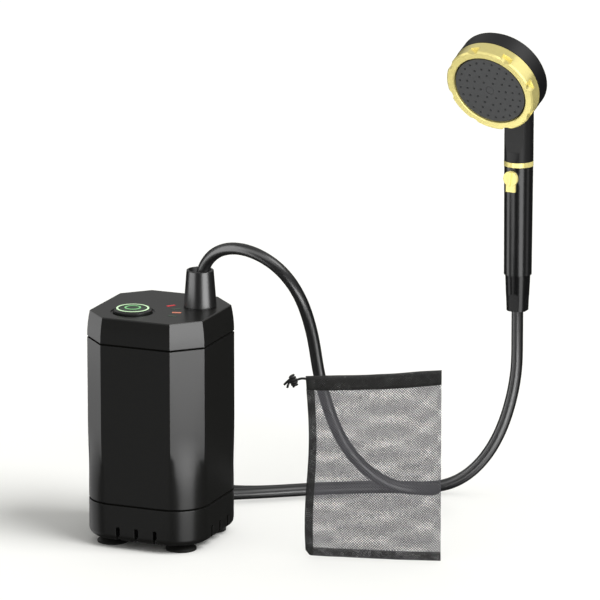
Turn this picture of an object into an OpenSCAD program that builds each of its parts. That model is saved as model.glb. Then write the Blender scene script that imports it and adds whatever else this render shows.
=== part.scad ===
// Camp shower pump: a battery pump in an eight-sided casing, its hose, the shower handset and a mesh bag.
// Millimetres, +Z up, the front of the pump faces -Y, the origin is on the floor under the pump.

/* [Pump casing] */
// Width of the casing across its flat sides
body_w = 100; // [90:1:110]
// Length of each leg of the cut corners
corner_cut = 20.6; // [19:0.1:22.5]
// Radius of the round corners at the foot of the casing
corner_r = 28; // [26.5:0.5:29]
// Thickness of the casing walls
wall = 2.6; // [2.2:0.1:3]
// Height of the base cover
base_h = 29.4; // [28.2:0.2:32]
// Height of the body shell
body_h = 128.6; // [119:0.2:142]
// Height of the top cap
cap_h = 21.3; // [20.5:0.1:24]

/* [Intake slots] */
// Width of an intake slot
slot_w = 3.6; // [3:0.2:4.4]
// Distance between neighbouring slots
slot_pitch = 15.7; // [14:0.1:16.5]
// Height of a slot above the underside of the base
slot_h = 11.6; // [9:0.1:14]

/* [Suction feet] */
// Diameter of a foot where it stands on the floor
foot_d = 24.4; // [22:0.2:26]
// Height of the feet
foot_h = 6.5; // [5.5:0.5:8]
// Distance from a side of the casing to the middle of a foot
foot_inset = 20.7; // [18:0.1:22]

/* [Top fittings] */
// Diameter of the power button
button_d = 30.6; // [29.6:0.2:31.4]
// Travel of the power button
button_travel = 1.2; // [0.8:0.1:1.4]
// Length of an indicator lamp
lamp_l = 7; // [6:0.5:8]
// Width of an indicator lamp
lamp_w = 2.6; // [2:0.2:3]
// Diameter of the outlet cone at its foot
cone_d = 25.8; // [25:0.2:28]
// Height of the outlet cone
cone_h = 29.5; // [26:0.5:31]

/* [Hose] */
// Outside diameter of the hose
hose_d = 9.5; // [8.7:0.1:9.5]

/* [Shower handset] */
// Diameter of the handle at its upper end
handle_d = 23.2; // [22.2:0.1:24]
// Length of the handle
handle_l = 89; // [84:1:100]
// Diameter of the shower head
head_d = 75.4; // [74:0.2:80]
// Angle at which the head looks down
head_tilt = 24.5; // [20:0.5:28]
// Diameter of the nozzle plate
plate_d = 59.4; // [58:0.2:60.4]

/* [Mesh bag] */
// Width of the bag
bag_w = 104.4; // [90:0.2:112]
// Height of the bag
bag_h = 150; // [135:1:160]
// Thickness of the empty bag
bag_t = 4; // [3.6:0.2:6]

/* [Hidden] */
$fn = 64;

// Extra length that carries a cut clean through a face
over = 1;
// Play of pieces that are assembled tight
fit = 0.05;
// Play on the radius between a shaft and its bore
run = 0.08;
// Distance between pieces that move past each other
gap = 0.3;
// Play of screws and tubes in plain holes
slip = 0.2;

// Casing levels and faces
z_base = foot_h;
z_seam = z_base + base_h;
z_cap = z_seam + body_h;
z_top = z_cap + cap_h;
half_w = body_w / 2;
face_in = half_w - wall;
floor_t = 3;
z_floor = z_base + floor_t;
lid_t = 2.6;
z_lid = z_top - lid_t;
board_drop = 17;
z_board = z_top - board_drop;

// Outline of the casing, measured from the centre of the corner arcs
arc_at = half_w - corner_r;
chamfer_reach = (body_w - corner_cut) / sqrt(2) - arc_at * sqrt(2);
corner_steps = 6;
seam_bevel = 0.8;
base_round = 5;
round_steps = 4;
fade_start = 10;
fade_end = 60;
fade_steps = 5;
cap_lean = 2;
cap_edge = 0.7;
lean_steps = 4;

// Base screws and the posts they run through
fastener_share = 0.48;
fastener_x = fastener_share * half_w;
fastener_edge = 9;
fastener_y = half_w - fastener_edge;
fastener_spots = [for (sx = [-1, 1]) for (sy = [-1, 1]) [sx * fastener_x, sy * fastener_y]];
post_r = 4.5;
post_rise = 1;
boss_h = 17;
boss_web = 5;
screw_r = 1.5;
screw_head_r = 2.8;
screw_head_h = 2.2;
screw_sink = 2.5;
screw_grip = 11;

// Suction feet
foot_spot = half_w - foot_inset;
foot_spots = [for (sx = [-1, 1]) for (sy = [-1, 1]) [sx * foot_spot, sy * foot_spot]];
foot_rim_h = 1.4;
foot_lip = 1.6;
foot_cup_h = 2.4;
foot_cup_r = 3;
foot_neck_r = 5.6;
foot_stem_r = 3.9;
foot_head_r = 5.4;
foot_head_h = 2;

// Bulkhead between the wet base and the dry body
plate_t = 5;
z_plate = z_seam + post_rise;
z_dry = z_plate + plate_t;
seal_bore_r = 7;
groove_h = 2;
groove_d = 1.6;
groove_lift = 1.5;

// Pump chamber under the bulkhead
flange_t = 3;
flange_r = 30.5;
chamber_top_t = 4;
chamber_h = 15;
chamber_r = 20.5;
chamber_wall = 3;
z_chamber = z_plate - chamber_top_t - chamber_h;
intake_t = 3;
intake_rim_h = 1.5;
intake_rim_w = 1.8;
eye_r = 8;
screen_r = 16;
screen_t = 2;
screen_slots = 12;
screen_slot_w = 2;
screen_slot_margin = 1;
housing_screw_at = 27;
housing_screw_angles = [120, 210, 300];
housing_grip = 3;
housing_screw_h = 2.5;

// Outlet boss, tangent channel and riser
outlet_x = 27.5;
outlet_y = 14.5;
outlet_at = norm([outlet_x, outlet_y]);
outlet_angle = atan2(outlet_y, outlet_x);
outlet_boss_r = 7.5;
outlet_bore_r = 4;
channel_r = 3;
channel_z = 6;
channel_off = 15;
channel_turn = asin(channel_off / outlet_at);
channel_web = 11;
channel_web_l = 20;
channel_web_h = 12;
radial_web = 8;
riser_r = 5.5;
riser_wall = 1.5;
riser_sink = 6;
riser_top = 6.5;

// Impeller and shaft
shaft_r = 1.5;
shaft_low = 1;
impeller_r = 18;
impeller_z = 9;
impeller_t = 2;
vane_h = 6;
vane_t = 1.6;
vane_count = 6;
vane_lean = 25;
hub_r = 4;

// Height shared by the motor can and the battery cells, between the bulkhead and the control board
bell_h = 4;
pack_air = 1;
pack_plate_t = 3;
pack_lid_t = 2.2;
board_air = 2.6;
stack_h = z_board - z_dry - bell_h - pack_air - pack_plate_t - slip - pack_lid_t - board_air;
motor_share = 0.43;

// Motor
can_r = 17.9;
can_in = 16;
can_h = motor_share * stack_h;
can_floor = 2;
can_spare = 16;
bearing_r = 5;
bearing_h = 3;
bearing_collar = 1.5;
magnet_in = 14.6;
magnet_gap_w = 8;
armature_r = 14;
armature_z = 9;
armature_h = can_h - can_spare;
armature_slots = 5;
armature_slot_w = 2.4;
armature_slot_d = 5;
commutator_r = 4;
commutator_h = 4;
bell_rim_h = 2;
bell_rim_w = 1.4;
z_bell = z_dry + can_h;
motor_screw_r = 1.25;
motor_screw_head_r = 2.3;
motor_screw_head_h = 1.8;
motor_screw_at = 11;
motor_screw_sink = 2;
lead_r = 0.8;
lead_x = 16.6;
lead_y = 3;

// Battery pack
pack_x = -4;
cell_r = 9.2;
cell_h = (1 - motor_share) * stack_h;
cell_pitch = 19.4;
pack_half = 19.2;
pack_post_r = 3.4;
z_pack = z_bell + bell_h + pack_air;
z_cells = z_pack + pack_plate_t;
shelf_w = 4;
shelf_h = 6;
shelf_reach = 17;
shelf_left = -20;
shelf_right = 12;

// Cap skirt, gasket and snap lugs
skirt_play = 0.25;
skirt_h = 6;
skirt_t = 2.35;
skirt_in = wall + skirt_play + skirt_t;
cap_groove_h = 2;
cap_groove_d = 1.2;
cap_groove_z = 2;
lug_w = 10;
lug_out = 1;
lug_h = 1.2;
lug_z = 0.5;

// Control board
board_t = 1.6;
board_inset = 7.5;
board_edge = 19;
board_side = 12;
board_front = 23;
board_at = half_w - board_edge;
board_spots = [
    [board_at, board_at], [board_at, -board_at], [-board_at, board_at],
    [board_side - half_w, board_front - half_w]
];
board_boss_r = 3.4;
board_screw_r = 1;
board_screw_head_r = 1.9;
board_screw_head_h = 1.5;
board_screw_grip = 6.5;
switch_w = 6;
switch_h = 1.8;
lamp_chip_w = 2.4;
lamp_chip_h = 1.2;
chip_w = 10;
chip_h = 1.6;
chip_side = 28;
chip_x = chip_side - half_w;
chip_y = 14;

// Power button
button_side_at = 35.6;
button_front_at = 28.8;
button_x = button_side_at - half_w;
button_y = button_front_at - half_w;
button_r = button_d / 2;
dish_r = 17.4;
dish_d = 1;
button_flange = 1.7;
button_flange_h = 2;
button_high = 3.4;
button_inner = 3.2;
button_outer = 2.75;
button_side = 0.4;
button_shoulder = 1.6;
ring_out_r = 12.2;
ring_in_r = 5.8;
ring_half = 0.7;
ring_deep = 1.1;
ring_proud = 0.15;
plunger_r = 2.5;
seal_play = 0.3;
seal_w = 1.9;
seal_h = 3.4;
spring_r = 7;
spring_wire = 0.9;
spring_turns = 5;
spring_steps = 8;
spring_sides = 6;

// Indicator lamps stand in an arc round the button
lamp_angles = [54, 35, 16, -3];
lamp_edge = 15.5;
lamp_at = half_w - lamp_edge;
lamp_proud = 0.15;
lamp_lip = 0.8;
lamp_lip_h = 1.2;
pipe_r = 1;
pipe_air = 0.6;

// Outlet nipple and cone
nipple_r = 7.2;
nipple_low = 13;
nipple_bore_r = 3;
nipple_flange_r = 9.4;
nipple_flange_h = 3;
barb_r = 4.2;
barb_h = 5;
cone_taper = 2.2;
cone_room = 4.2;
cone_mouth_r = hose_d / 2 + cone_room;
cone_gap_h = 0.8;
cone_gap_d = 0.6;
cone_bevel = 0.5;

// Charging socket and its flap on the back
charge_drop = 17;
z_charge = z_cap - charge_drop;
socket_r = 5.5;
socket_back = 0.6;
socket_l = 11.4;
socket_mouth_r = 4.2;
socket_mouth_l = 8.4;
socket_pin_r = 1;
socket_pin_l = 7;
socket_flange_r = 7.2;
socket_flange_t = 2.2;
terminal_w = 9;
terminal_d = 4;
terminal_h = 8;
wire_x = 2.5;
flap_w = 19;
flap_t = 1.8;
flap_air = 0.4;
flap_up = 13;
flap_down = 10;
knuckle_r = 1.5;
hinge_out = 2;
pin_r = 1;
ear_t = 1.6;
ear_air = 0.4;
ear_h = 4;
ear_out = 3.5;
flap_plug_r = 4.4;
flap_plug_h = 0.6;
flap_tab_w = 8;
flap_tab_h = 2;
flap_tab_out = 1.4;
z_hinge = z_charge + flap_up;
y_hinge = half_w + hinge_out;

// Handset: where it stands and its levels
handset_x = 219.6;
handset_y = 210;
handset_yaw = -7;
z_collar = 155.6;
collar_h = 29.8;
z_handle = z_collar + collar_h;
z_band = z_handle + handle_l;
band_h = 4;
z_neck = z_band + band_h;
head_rise = 89.2;
z_head = z_neck + head_rise;

// Swivel collar and hose tail
collar_r0 = 8.8;
collar_r1 = 10.1;
collar_play = 0.45;
collar_bore_r = hose_d / 2 + collar_play;
collar_step = 8;
collar_room_r = 7.2;
collar_room_h = 7;
flat_at = 7.9;
flat_w = 9;
flat_top = 10.5;
flat_angles = [5.5, 95.5, 185.5, 275.5];
tail_r = 6.9;
tail_h = 2.7;
tail_spigot_r = 4;
tail_spigot_h = 8;
tail_bore_r = 2.6;
z_tail = z_collar + collar_step + gap;

// Handle
handle_r0 = 11.15;
handle_r1 = handle_d / 2;
stub_r = 7.8;
stub_h = collar_h - collar_step - collar_room_h;
stub_bore_r = 4.3;
handle_bore_r = 6;
stub_wall_h = 3;
spigot_r = 9.4;
spigot_h = 4.5;
band_proud = 0.2;

// Flow knob and valve spindle on the front of the handle
knob_drop = 8.35;
z_knob = z_band - knob_drop;
knob_r = 6.1;
knob_h = 2.8;
knob_seat_r = 5.6;
knob_seat_proud = 0.3;
knob_seat = handle_r1 + knob_seat_proud;
knob_back = knob_seat + gap;
knob_tail_w = 8;
knob_tail_l = 11;
knob_tail_h = 2.2;
ridge_w = 2.2;
ridge_l = 11;
ridge_h = 1.5;
ridge_turn = 8;
spindle_r = 3;
spindle_in = 4.5;
ball_r = 5.4;
ball_bore_r = 3;
oring_r = 4.4;
oring_h = 1.4;
oring_at = 9;

// Shower head, levels along its own axis from the handle axis
drum_r = head_d / 2;
drum_back = 29.8;
drum_front = 43.3;
drum_room_r = 32;
drum_ledge_r = 34;
drum_floor = 32.5;
drum_ledge = 39.9;
boss_r = 5;
neck_proud = 0.1;
neck_r = handle_r1 + neck_proud;
neck_up = 72;
neck_flat = 8.6;
neck_flat_low = 2;
neck_flat_high = 16;
neck_side = 11.5;
neck_side_low = 11;
neck_back = 6.4;
neck_back_low = 38;
neck_back_high = 60;
neck_ridge = -1;
neck_bore_r = 4.5;
neck_bore_up = 62;
duct_r = 3.5;
duct_l = 26;
fairing = [[0, 4.5], [8, 5.2], [13.5, 7], [20, 13], [29, 20.8], [35.5, 27]];
flow_disc_t = 3;
flow_port_r = 3;
flow_port_at = 16;
flow_port_count = 6;
gasket_t = 0.4;
gasket_w = 3.3;

// Selector ring, nozzle plate and mat
ring_inset = 0.2;
ring_r = drum_r - ring_inset;
ring_back = drum_front + gap;
ring_front = 56.4;
ring_bevel = 1.2;
notch_count = 8;
notch_r = 6;
notch_out = 3.6;
notch_at = ring_r + notch_out;
notch_deep = 6.4;
notch_turn = 12;
plate_r = plate_d / 2;
plate_rim = 1.3;
ring_bore_r = plate_r + plate_rim;
plate_front = 55.4;
plate_thick = 3.4;
mat_t = 3;
nozzle_rows = [[8, 6], [14, 12], [20, 18], [26, 24]];
nozzle_r = 0.9;
nub_r = 0.8;
nub_proud = 0.3;
pivot_r = 4;
pivot_screw_r = 2;
pivot_head_r = 3.3;
pivot_head_h = 0.8;
pivot_sink = 1.2;
pivot_low = 9;

// Mesh bag and drawstring
bag_x = 179.1;
bag_y = 2.6;
bag_turn = 17.4;
hem_z = 7;
tunnel_r = 1.5;
cord_r = 0.9;
cord_sides = 8;
cord_rings = 24;
knot_out = 11.5;
knot_r = 3.8;
knot_squash = 1.25;
knot_tail_l = 10;
knot_tail_turns = [[0, 215, 25], [0, 265, -20]];
cord_end_in = 4;

// Hose route, chosen by hand: over the arch, down behind the bag, round a turn that stands on its edge,
// to the left behind the pump, round a loop on the floor, back along itself and up to the handset
hose_r = hose_d / 2;
hose_rings = 101;
hose_sides = 10;
hose_raise = 2.15;
hose_straight = 33;
z_hose = z_top + nipple_flange_h + barb_h;
arch = [[0, 0, 0], [0, 0, 10.7], [4.5, -3.3, 27.2], [20.3, -10.9, 43], [46, -16.3, 47.2], [72, -14.3, 35.2]];
fall = [
    [112, 10.5, 207], [115, 23, 184.5], [116, 34, 161], [115, 43.5, 136.5], [117, 52.5, 112.5], [121, 61.5, 88],
    [128.5, 71.5, 65], [140.5, 84, 45.5], [156, 98.5, 30.5]
];
edge_turn = [[171.5, 113, 26.5], [178, 135, 21], [171.5, 156.5, 15.5], [154, 171.5, 10.5]];
near_run = [[130.5, 175.5], [107, 165.5], [86, 154], [65.5, 141], [45.5, 127], [25.5, 113]];
settle = [[3.5, 102, 6.5], [-7.5, 83, 5.5]];
floor_loop = [
    [-21, 59], [-44.5, 48.5], [-69, 52], [-87.5, 69], [-94, 93], [-86, 116.5], [-65.5, 132.5], [-39, 134],
    [-16, 121.5], [8, 121]
];
far_run = [[31, 129.5], [51, 143.5], [71, 157.5], [92.5, 169.5], [114, 181], [137.5, 188]];
rise = [
    [163, 195, 5.3], [183, 201, 16.5], [198.5, 206, 35.5], [209, 209, 58.5], [215.5, 210.6, 82.5],
    [219.4, 211, 106.5]
];
hose_route = concat(
    [for (p = arch) [outlet_x, outlet_y, z_hose] + p], fall, edge_turn,
    [for (p = near_run) [p[0], p[1], hose_r + hose_raise]], settle,
    [for (p = concat(floor_loop, far_run)) [p[0], p[1], hose_r]], rise,
    [[handset_x, handset_y, z_tail - hose_straight], [handset_x, handset_y, z_tail]]
);

function unit(v) = v / norm(v);

// Where the flat side meets the cut corner, as an angle about the centre of the corner arc
function edge_angle(inset) =
    let (r = corner_r - inset, c = chamfer_reach - inset)
    atan((c * sqrt(2) - r) / r);

function sharp_r(t, inset) =
    let (r = corner_r - inset, c = chamfer_reach - inset, e = edge_angle(inset))
    t <= e ? r / cos(t) : t >= 90 - e ? r / sin(t) : c / cos(t - 45);

function corner_angles(inset) =
    let (e = edge_angle(inset))
    concat(
        [0, e / 2],
        [for (k = [0:corner_steps]) e + (90 - 2 * e) * k / corner_steps],
        [90 - e / 2, 90]
    );

// Casing outline: soft 0 has cut corners, soft 1 has round ones
function casing_outline(inset, soft) =
    let (r = corner_r - inset, angles = corner_angles(inset))
    [
        for (q = [0:3])
            for (t = angles)
                let (s = sharp_r(t, inset), d = s + soft * (r - s))
                let (x = arc_at + d * cos(t), y = arc_at + d * sin(t))
                q == 0 ? [x, y] : q == 1 ? [-y, x] : q == 2 ? [-x, -y] : [y, -x]
    ];

function octagon_points(inset) =
    let (h = half_w - inset, k = body_w - corner_cut - inset * sqrt(2) - h)
    [[h, -k], [h, k], [k, h], [-k, h], [-h, k], [-h, -k], [-k, -h], [k, -h]];

// Smooth curve along control points, through the first and the last of them
function control(p, i) =
    i < 0 ? 2 * p[0] - p[1] : i >= len(p) ? 2 * p[len(p) - 1] - p[len(p) - 2] : p[i];

function curve_at(p, u) =
    let (i = min(floor(u), len(p) - 2), f = u - i)
    (pow(1 - f, 3) * control(p, i - 1) + (3 * pow(f, 3) - 6 * pow(f, 2) + 4) * control(p, i)
        + (-3 * pow(f, 3) + 3 * pow(f, 2) + 3 * f + 1) * control(p, i + 1) + pow(f, 3) * control(p, i + 2)) / 6;

function curve(p, count) = [for (k = [0:count - 1]) curve_at(p, (len(p) - 1) * k / (count - 1))];

function tangents(c) =
    [for (k = [0:len(c) - 1]) unit(c[min(k + 1, len(c) - 1)] - c[max(k - 1, 0)])];

function normals(t, first) =
    [
        for (
            k = 0, v = unit(first - (first * t[0]) * t[0]);
            k < len(t);
            k = k + 1, v = k < len(t) ? unit(v - (v * t[k]) * t[k]) : v
        ) v
    ];

function ring_middle(points, start, n, k = 0) =
    k == n ? [0, 0, 0] : points[start + k] / n + ring_middle(points, start, n, k + 1);

// Closed skin over rings of points that all have n points
module skin(points, n) {
    rows = len(points) / n;
    sides = [
        for (k = [0:rows - 2])
            for (i = [0:n - 1])
                for (half = [0, 1])
                    let (j = (i + 1) % n)
                    half == 0
                        ? [k * n + i, (k + 1) * n + i, k * n + j]
                        : [k * n + j, (k + 1) * n + i, (k + 1) * n + j]
    ];
    low = rows * n;
    ends = [
        for (i = [0:n - 1])
            for (end = [0, 1])
                let (j = (i + 1) % n)
                end == 0 ? [low, i, j] : [low + 1, (rows - 1) * n + j, (rows - 1) * n + i]
    ];
    polyhedron(
        points = concat(points, [ring_middle(points, 0, n), ring_middle(points, (rows - 1) * n, n)]),
        faces = concat(sides, ends), convexity = 8
    );
}

module casing(sections) {
    points = [for (s = sections) for (p = casing_outline(s[1], s[2])) [p[0], p[1], s[0]]];
    skin(points, len(points) / len(sections));
}

module sweep(path, radius, sides, first) {
    t = tangents(path);
    n = normals(t, first);
    points = [
        for (k = [0:len(path) - 1])
            for (s = [0:sides - 1])
                let (a = 360 * s / sides)
                path[k] + radius * (cos(a) * n[k] + sin(a) * cross(t[k], n[k]))
    ];
    skin(points, sides);
}

module disc(r, z0, z1) {
    translate([0, 0, z0])
        cylinder(r = r, h = z1 - z0);
}

module ring(r_out, r_in, z0, z1) {
    difference() {
        disc(r_out, z0, z1);
        disc(r_in, z0 - over, z1 + over);
    }
}

module block(x0, x1, y0, y1, z0, z1) {
    translate([x0, y0, z0])
        cube([x1 - x0, y1 - y0, z1 - z0]);
}

module octagon(inset, z0, z1) {
    translate([0, 0, z0])
        linear_extrude(height = z1 - z0)
            polygon(octagon_points(inset));
}

module octagon_ring(inset_out, inset_in, z0, z1) {
    difference() {
        octagon(inset_out, z0, z1);
        octagon(inset_in, z0 - over, z1 + over);
    }
}

// A bar along Y at height z, from y0 to y1
module rod_y(r, z, y0, y1) {
    translate([0, y1, z])
        rotate([90, 0, 0])
            cylinder(r = r, h = y1 - y0);
}

module at(spots) {
    for (s = spots)
        translate([s[0], s[1], 0])
            children();
}

module at_outlet() {
    translate([outlet_x, outlet_y, 0])
        children();
}

module at_button() {
    translate([button_x, button_y, 0])
        children();
}

module at_lamps() {
    at_button()
        for (a = lamp_angles)
            rotate([0, 0, a])
                translate([lamp_at, 0, 0])
                    children();
}

module at_handset() {
    translate([handset_x, handset_y, 0])
        rotate([0, 0, handset_yaw])
            children();
}

// Turns the vertical axis into the axis of the shower head
module at_head() {
    at_handset()
        in_head()
            children();
}

module in_head() {
    translate([0, 0, z_head])
        rotate([90 + head_tilt, 0, 0])
            children();
}

module at_bag() {
    translate([bag_x, bag_y, 0])
        rotate([0, 0, bag_turn])
            children();
}

module suction_feet() {
    color([0.05, 0.05, 0.05])
        at(foot_spots)
            difference() {
                union() {
                    disc(foot_d / 2, 0, foot_rim_h);
                    translate([0, 0, foot_rim_h])
                        cylinder(r1 = foot_d / 2, r2 = foot_neck_r, h = z_base - foot_rim_h);
                    disc(foot_stem_r, z_base - over, z_floor + foot_head_h);
                    disc(foot_head_r, z_floor, z_floor + foot_head_h);
                }
                translate([0, 0, -over])
                    cylinder(r = foot_d / 2 - foot_lip, h = over);
                cylinder(r1 = foot_d / 2 - foot_lip, r2 = foot_cup_r, h = foot_cup_h);
            }
}

module intake_slot() {
    inner = half_w - base_round - over;
    top = z_base + slot_h - slot_w / 2;
    block(-slot_w / 2, slot_w / 2, -half_w - over, -inner, z_base - over, top);
    rod_y(slot_w / 2, top, -half_w - over, -inner);
}

module base_cover() {
    bottom = [
        for (k = [0:round_steps])
            let (a = 90 * k / round_steps)
            [z_base + base_round * (1 - cos(a)), base_round * (1 - sin(a)), 1]
    ];
    rim = [[z_seam - seam_bevel, 0, 1], [z_seam, seam_bevel, 1]];
    color([0.10, 0.10, 0.10])
        difference() {
            union() {
                difference() {
                    casing(concat(bottom, rim));
                    octagon(wall, z_floor, z_seam + over);
                }
                at(fastener_spots)
                    disc(post_r, z_floor - over, z_plate);
            }
            for (q = [0:3])
                for (k = [-1:1])
                    rotate([0, 0, 90 * q])
                        translate([k * slot_pitch, 0, 0])
                            intake_slot();
            at(fastener_spots) {
                disc(screw_r + slip, z_base - over, z_plate + over);
                disc(screw_head_r + slip, z_base - over, z_base + screw_sink);
            }
            at(foot_spots)
                disc(foot_stem_r + slip, z_base - over, z_floor + over);
        }
}

module base_screws() {
    z_head_top = z_base + screw_sink;
    color([0.62, 0.63, 0.65])
        at(fastener_spots) {
            disc(screw_head_r, z_head_top - screw_head_h, z_head_top);
            disc(screw_r, z_head_top - over, z_dry + screw_grip);
        }
}

module bulkhead() {
    edge = wall + gap;
    color([0.16, 0.16, 0.17])
        difference() {
            octagon(edge, z_plate, z_dry);
            octagon_ring(0, edge + groove_d, z_plate + groove_lift, z_plate + groove_lift + groove_h);
            disc(seal_bore_r, z_plate - over, z_dry + over);
            at_outlet()
                disc(riser_r + slip, z_plate - over, z_dry + over);
            at(fastener_spots)
                disc(screw_r + slip, z_plate - over, z_dry + over);
            for (a = housing_screw_angles)
                rotate([0, 0, a])
                    translate([housing_screw_at, 0, 0])
                        disc(screw_r + fit, z_plate - over, z_plate + housing_grip + slip);
            for (s = [-1, 1])
                translate([0, s * motor_screw_at, 0]) {
                    disc(motor_screw_r + slip, z_plate - over, z_dry + over);
                    disc(motor_screw_head_r + slip, z_plate - over, z_plate + motor_screw_sink);
                }
        }
}

module base_gasket() {
    color([0.35, 0.12, 0.10])
        octagon_ring(wall, wall + gap + groove_d, z_plate + groove_lift, z_plate + groove_lift + groove_h);
}

module intake_screen() {
    top = z_chamber - intake_t;
    color([0.20, 0.20, 0.21])
        difference() {
            ring(screen_r, screen_r - screen_t, z_floor, top);
            for (k = [0:screen_slots - 1])
                rotate([0, 0, 360 * k / screen_slots])
                    block(
                        screen_r - screen_t - over, screen_r + over, -screen_slot_w / 2, screen_slot_w / 2,
                        z_floor + screen_slot_margin, top - screen_slot_margin
                    );
        }
}

module intake_plate() {
    rim_r = chamber_r - fit;
    color([0.18, 0.18, 0.19])
        difference() {
            union() {
                disc(chamber_r + chamber_wall, z_chamber - intake_t, z_chamber);
                disc(rim_r, z_chamber - over, z_chamber + intake_rim_h);
            }
            disc(rim_r - intake_rim_w, z_chamber, z_chamber + intake_rim_h + over);
            disc(eye_r, z_chamber - intake_t - over, z_chamber + over);
        }
}

module pump_housing() {
    channel = z_chamber + channel_z;
    color([0.22, 0.22, 0.23])
        difference() {
            union() {
                disc(chamber_r + chamber_wall, z_chamber, z_plate);
                disc(flange_r, z_plate - flange_t, z_plate);
                at_outlet()
                    disc(outlet_boss_r, z_chamber, z_plate);
                rotate([0, 0, outlet_angle])
                    block(chamber_r + chamber_wall / 2, outlet_at, -radial_web / 2, radial_web / 2, z_chamber,
                        z_plate - over);
                at_outlet()
                    rotate([0, 0, outlet_angle + 180 + channel_turn])
                        block(0, channel_web_l, -channel_web / 2, channel_web / 2, z_chamber,
                            z_chamber + channel_web_h);
            }
            disc(chamber_r, z_chamber - over, z_plate - chamber_top_t);
            disc(shaft_r + slip, z_plate - chamber_top_t - over, z_plate + over);
            at_outlet() {
                disc(outlet_bore_r, channel - channel_r - over, z_plate + over);
                disc(riser_r + slip, z_plate - riser_sink, z_plate + over);
                rotate([0, 0, outlet_angle + 180 + channel_turn])
                    block(0, outlet_at * cos(channel_turn), -channel_r, channel_r, channel - channel_r,
                        channel + channel_r);
            }
            for (a = housing_screw_angles)
                rotate([0, 0, a])
                    translate([housing_screw_at, 0, 0])
                        disc(screw_r + slip, z_plate - flange_t - over, z_plate + over);
        }
}

module housing_screws() {
    head = z_plate - flange_t;
    color([0.62, 0.63, 0.65])
        for (a = housing_screw_angles)
            rotate([0, 0, a])
                translate([housing_screw_at, 0, 0]) {
                    disc(screw_head_r, head - housing_screw_h, head);
                    disc(screw_r, head - over, z_plate + housing_grip);
                }
}

module impeller() {
    disc_z = z_chamber + impeller_z;
    color([0.75, 0.75, 0.72])
        difference() {
            union() {
                disc(impeller_r, disc_z, disc_z + impeller_t);
                disc(hub_r, disc_z - vane_h, disc_z + impeller_t + over);
                for (k = [0:vane_count - 1])
                    rotate([0, 0, 360 * k / vane_count])
                        translate([hub_r - vane_t, 0, 0])
                            rotate([0, 0, vane_lean])
                                block(0, impeller_r - hub_r - vane_t, -vane_t / 2, vane_t / 2, disc_z - vane_h,
                                    disc_z + impeller_t / 2);
            }
            disc(shaft_r, disc_z - vane_h - over, disc_z + impeller_t + 2 * over);
        }
}

module shaft_seal() {
    color([0.30, 0.10, 0.09])
        ring(seal_bore_r - fit, shaft_r + run, z_plate, z_dry - slip);
}

module motor_can() {
    collar = z_dry + can_floor;
    color([0.60, 0.61, 0.63])
        difference() {
            union() {
                ring(can_r, can_in, z_dry, z_bell);
                disc(can_r - fit, z_dry, collar);
                disc(bearing_r + bearing_collar, z_dry, collar + bearing_h);
            }
            disc(bearing_r, collar, collar + bearing_h + over);
            disc(shaft_r + 2 * slip, z_dry - over, collar + over);
            for (s = [-1, 1])
                translate([0, s * motor_screw_at, 0])
                    disc(motor_screw_r + fit, z_dry - over, collar + over);
        }
}

module motor_magnets() {
    z0 = z_dry + armature_z;
    color([0.25, 0.25, 0.27])
        difference() {
            ring(can_in, magnet_in, z0, z0 + armature_h);
            block(-can_r, can_r, -magnet_gap_w / 2, magnet_gap_w / 2, z0 - over, z0 + armature_h + over);
        }
}

module motor_bearings() {
    low = z_dry + can_floor;
    color([0.70, 0.58, 0.30]) {
        ring(bearing_r, shaft_r + run, low, low + bearing_h);
        ring(bearing_r, shaft_r + run, z_bell, z_bell + bearing_h);
    }
}

module motor_end_bell() {
    rim_r = can_in - fit;
    color([0.12, 0.12, 0.13])
        difference() {
            union() {
                disc(can_r, z_bell, z_bell + bell_h);
                ring(rim_r, rim_r - bell_rim_w, z_bell - bell_rim_h, z_bell + over);
            }
            disc(bearing_r, z_bell - over, z_bell + bearing_h);
        }
}

module motor_screws() {
    head_top = z_plate + motor_screw_sink;
    color([0.62, 0.63, 0.65])
        for (s = [-1, 1])
            translate([0, s * motor_screw_at, 0]) {
                disc(motor_screw_head_r, head_top - motor_screw_head_h, head_top);
                disc(motor_screw_r, head_top - over, z_dry + can_floor - slip);
            }
}

module rotor() {
    z0 = z_dry + armature_z;
    color([0.55, 0.33, 0.16])
        difference() {
            union() {
                disc(shaft_r, z_chamber + shaft_low, z_bell + bearing_h - 2 * slip);
                disc(armature_r, z0, z0 + armature_h);
                disc(commutator_r, z0 + armature_h - over, z0 + armature_h + commutator_h);
            }
            for (k = [0:armature_slots - 1])
                rotate([0, 0, 360 * k / armature_slots])
                    block(
                        armature_r - armature_slot_d, armature_r + over, -armature_slot_w / 2,
                        armature_slot_w / 2, z0 - over, z0 + armature_h + over / 2
                    );
        }
}

module motor_leads() {
    color([0.55, 0.08, 0.07])
        for (s = [-1, 1])
            translate([lead_x, s * lead_y, 0])
                disc(lead_r, z_bell + bell_h, z_board);
}

module pack_plate(z0, z1) {
    block(pack_x - pack_half, pack_x + pack_half, -pack_half, pack_half, z0, z1);
}

module battery_holder() {
    lid = z_cells + cell_h + slip;
    color([0.22, 0.22, 0.24]) {
        pack_plate(z_pack, z_cells);
        pack_plate(lid, lid + pack_lid_t);
        translate([pack_x, 0, 0])
            disc(pack_post_r, z_cells - over, lid + over);
    }
}

module battery_cells() {
    color([0.10, 0.35, 0.22])
        for (sx = [-1, 1])
            for (sy = [-1, 1])
                translate([pack_x + sx * cell_pitch / 2, sy * cell_pitch / 2, 0])
                    disc(cell_r, z_cells, z_cells + cell_h);
}

module snap_lugs(extra) {
    z0 = z_cap - skirt_h + lug_z;
    for (q = [0:3])
        rotate([0, 0, 90 * q])
            block(
                -lug_w / 2 - extra, lug_w / 2 + extra, -face_in - lug_out + skirt_play - extra, -face_in + over,
                z0 - extra, z0 + lug_h + extra
            );
}

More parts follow.
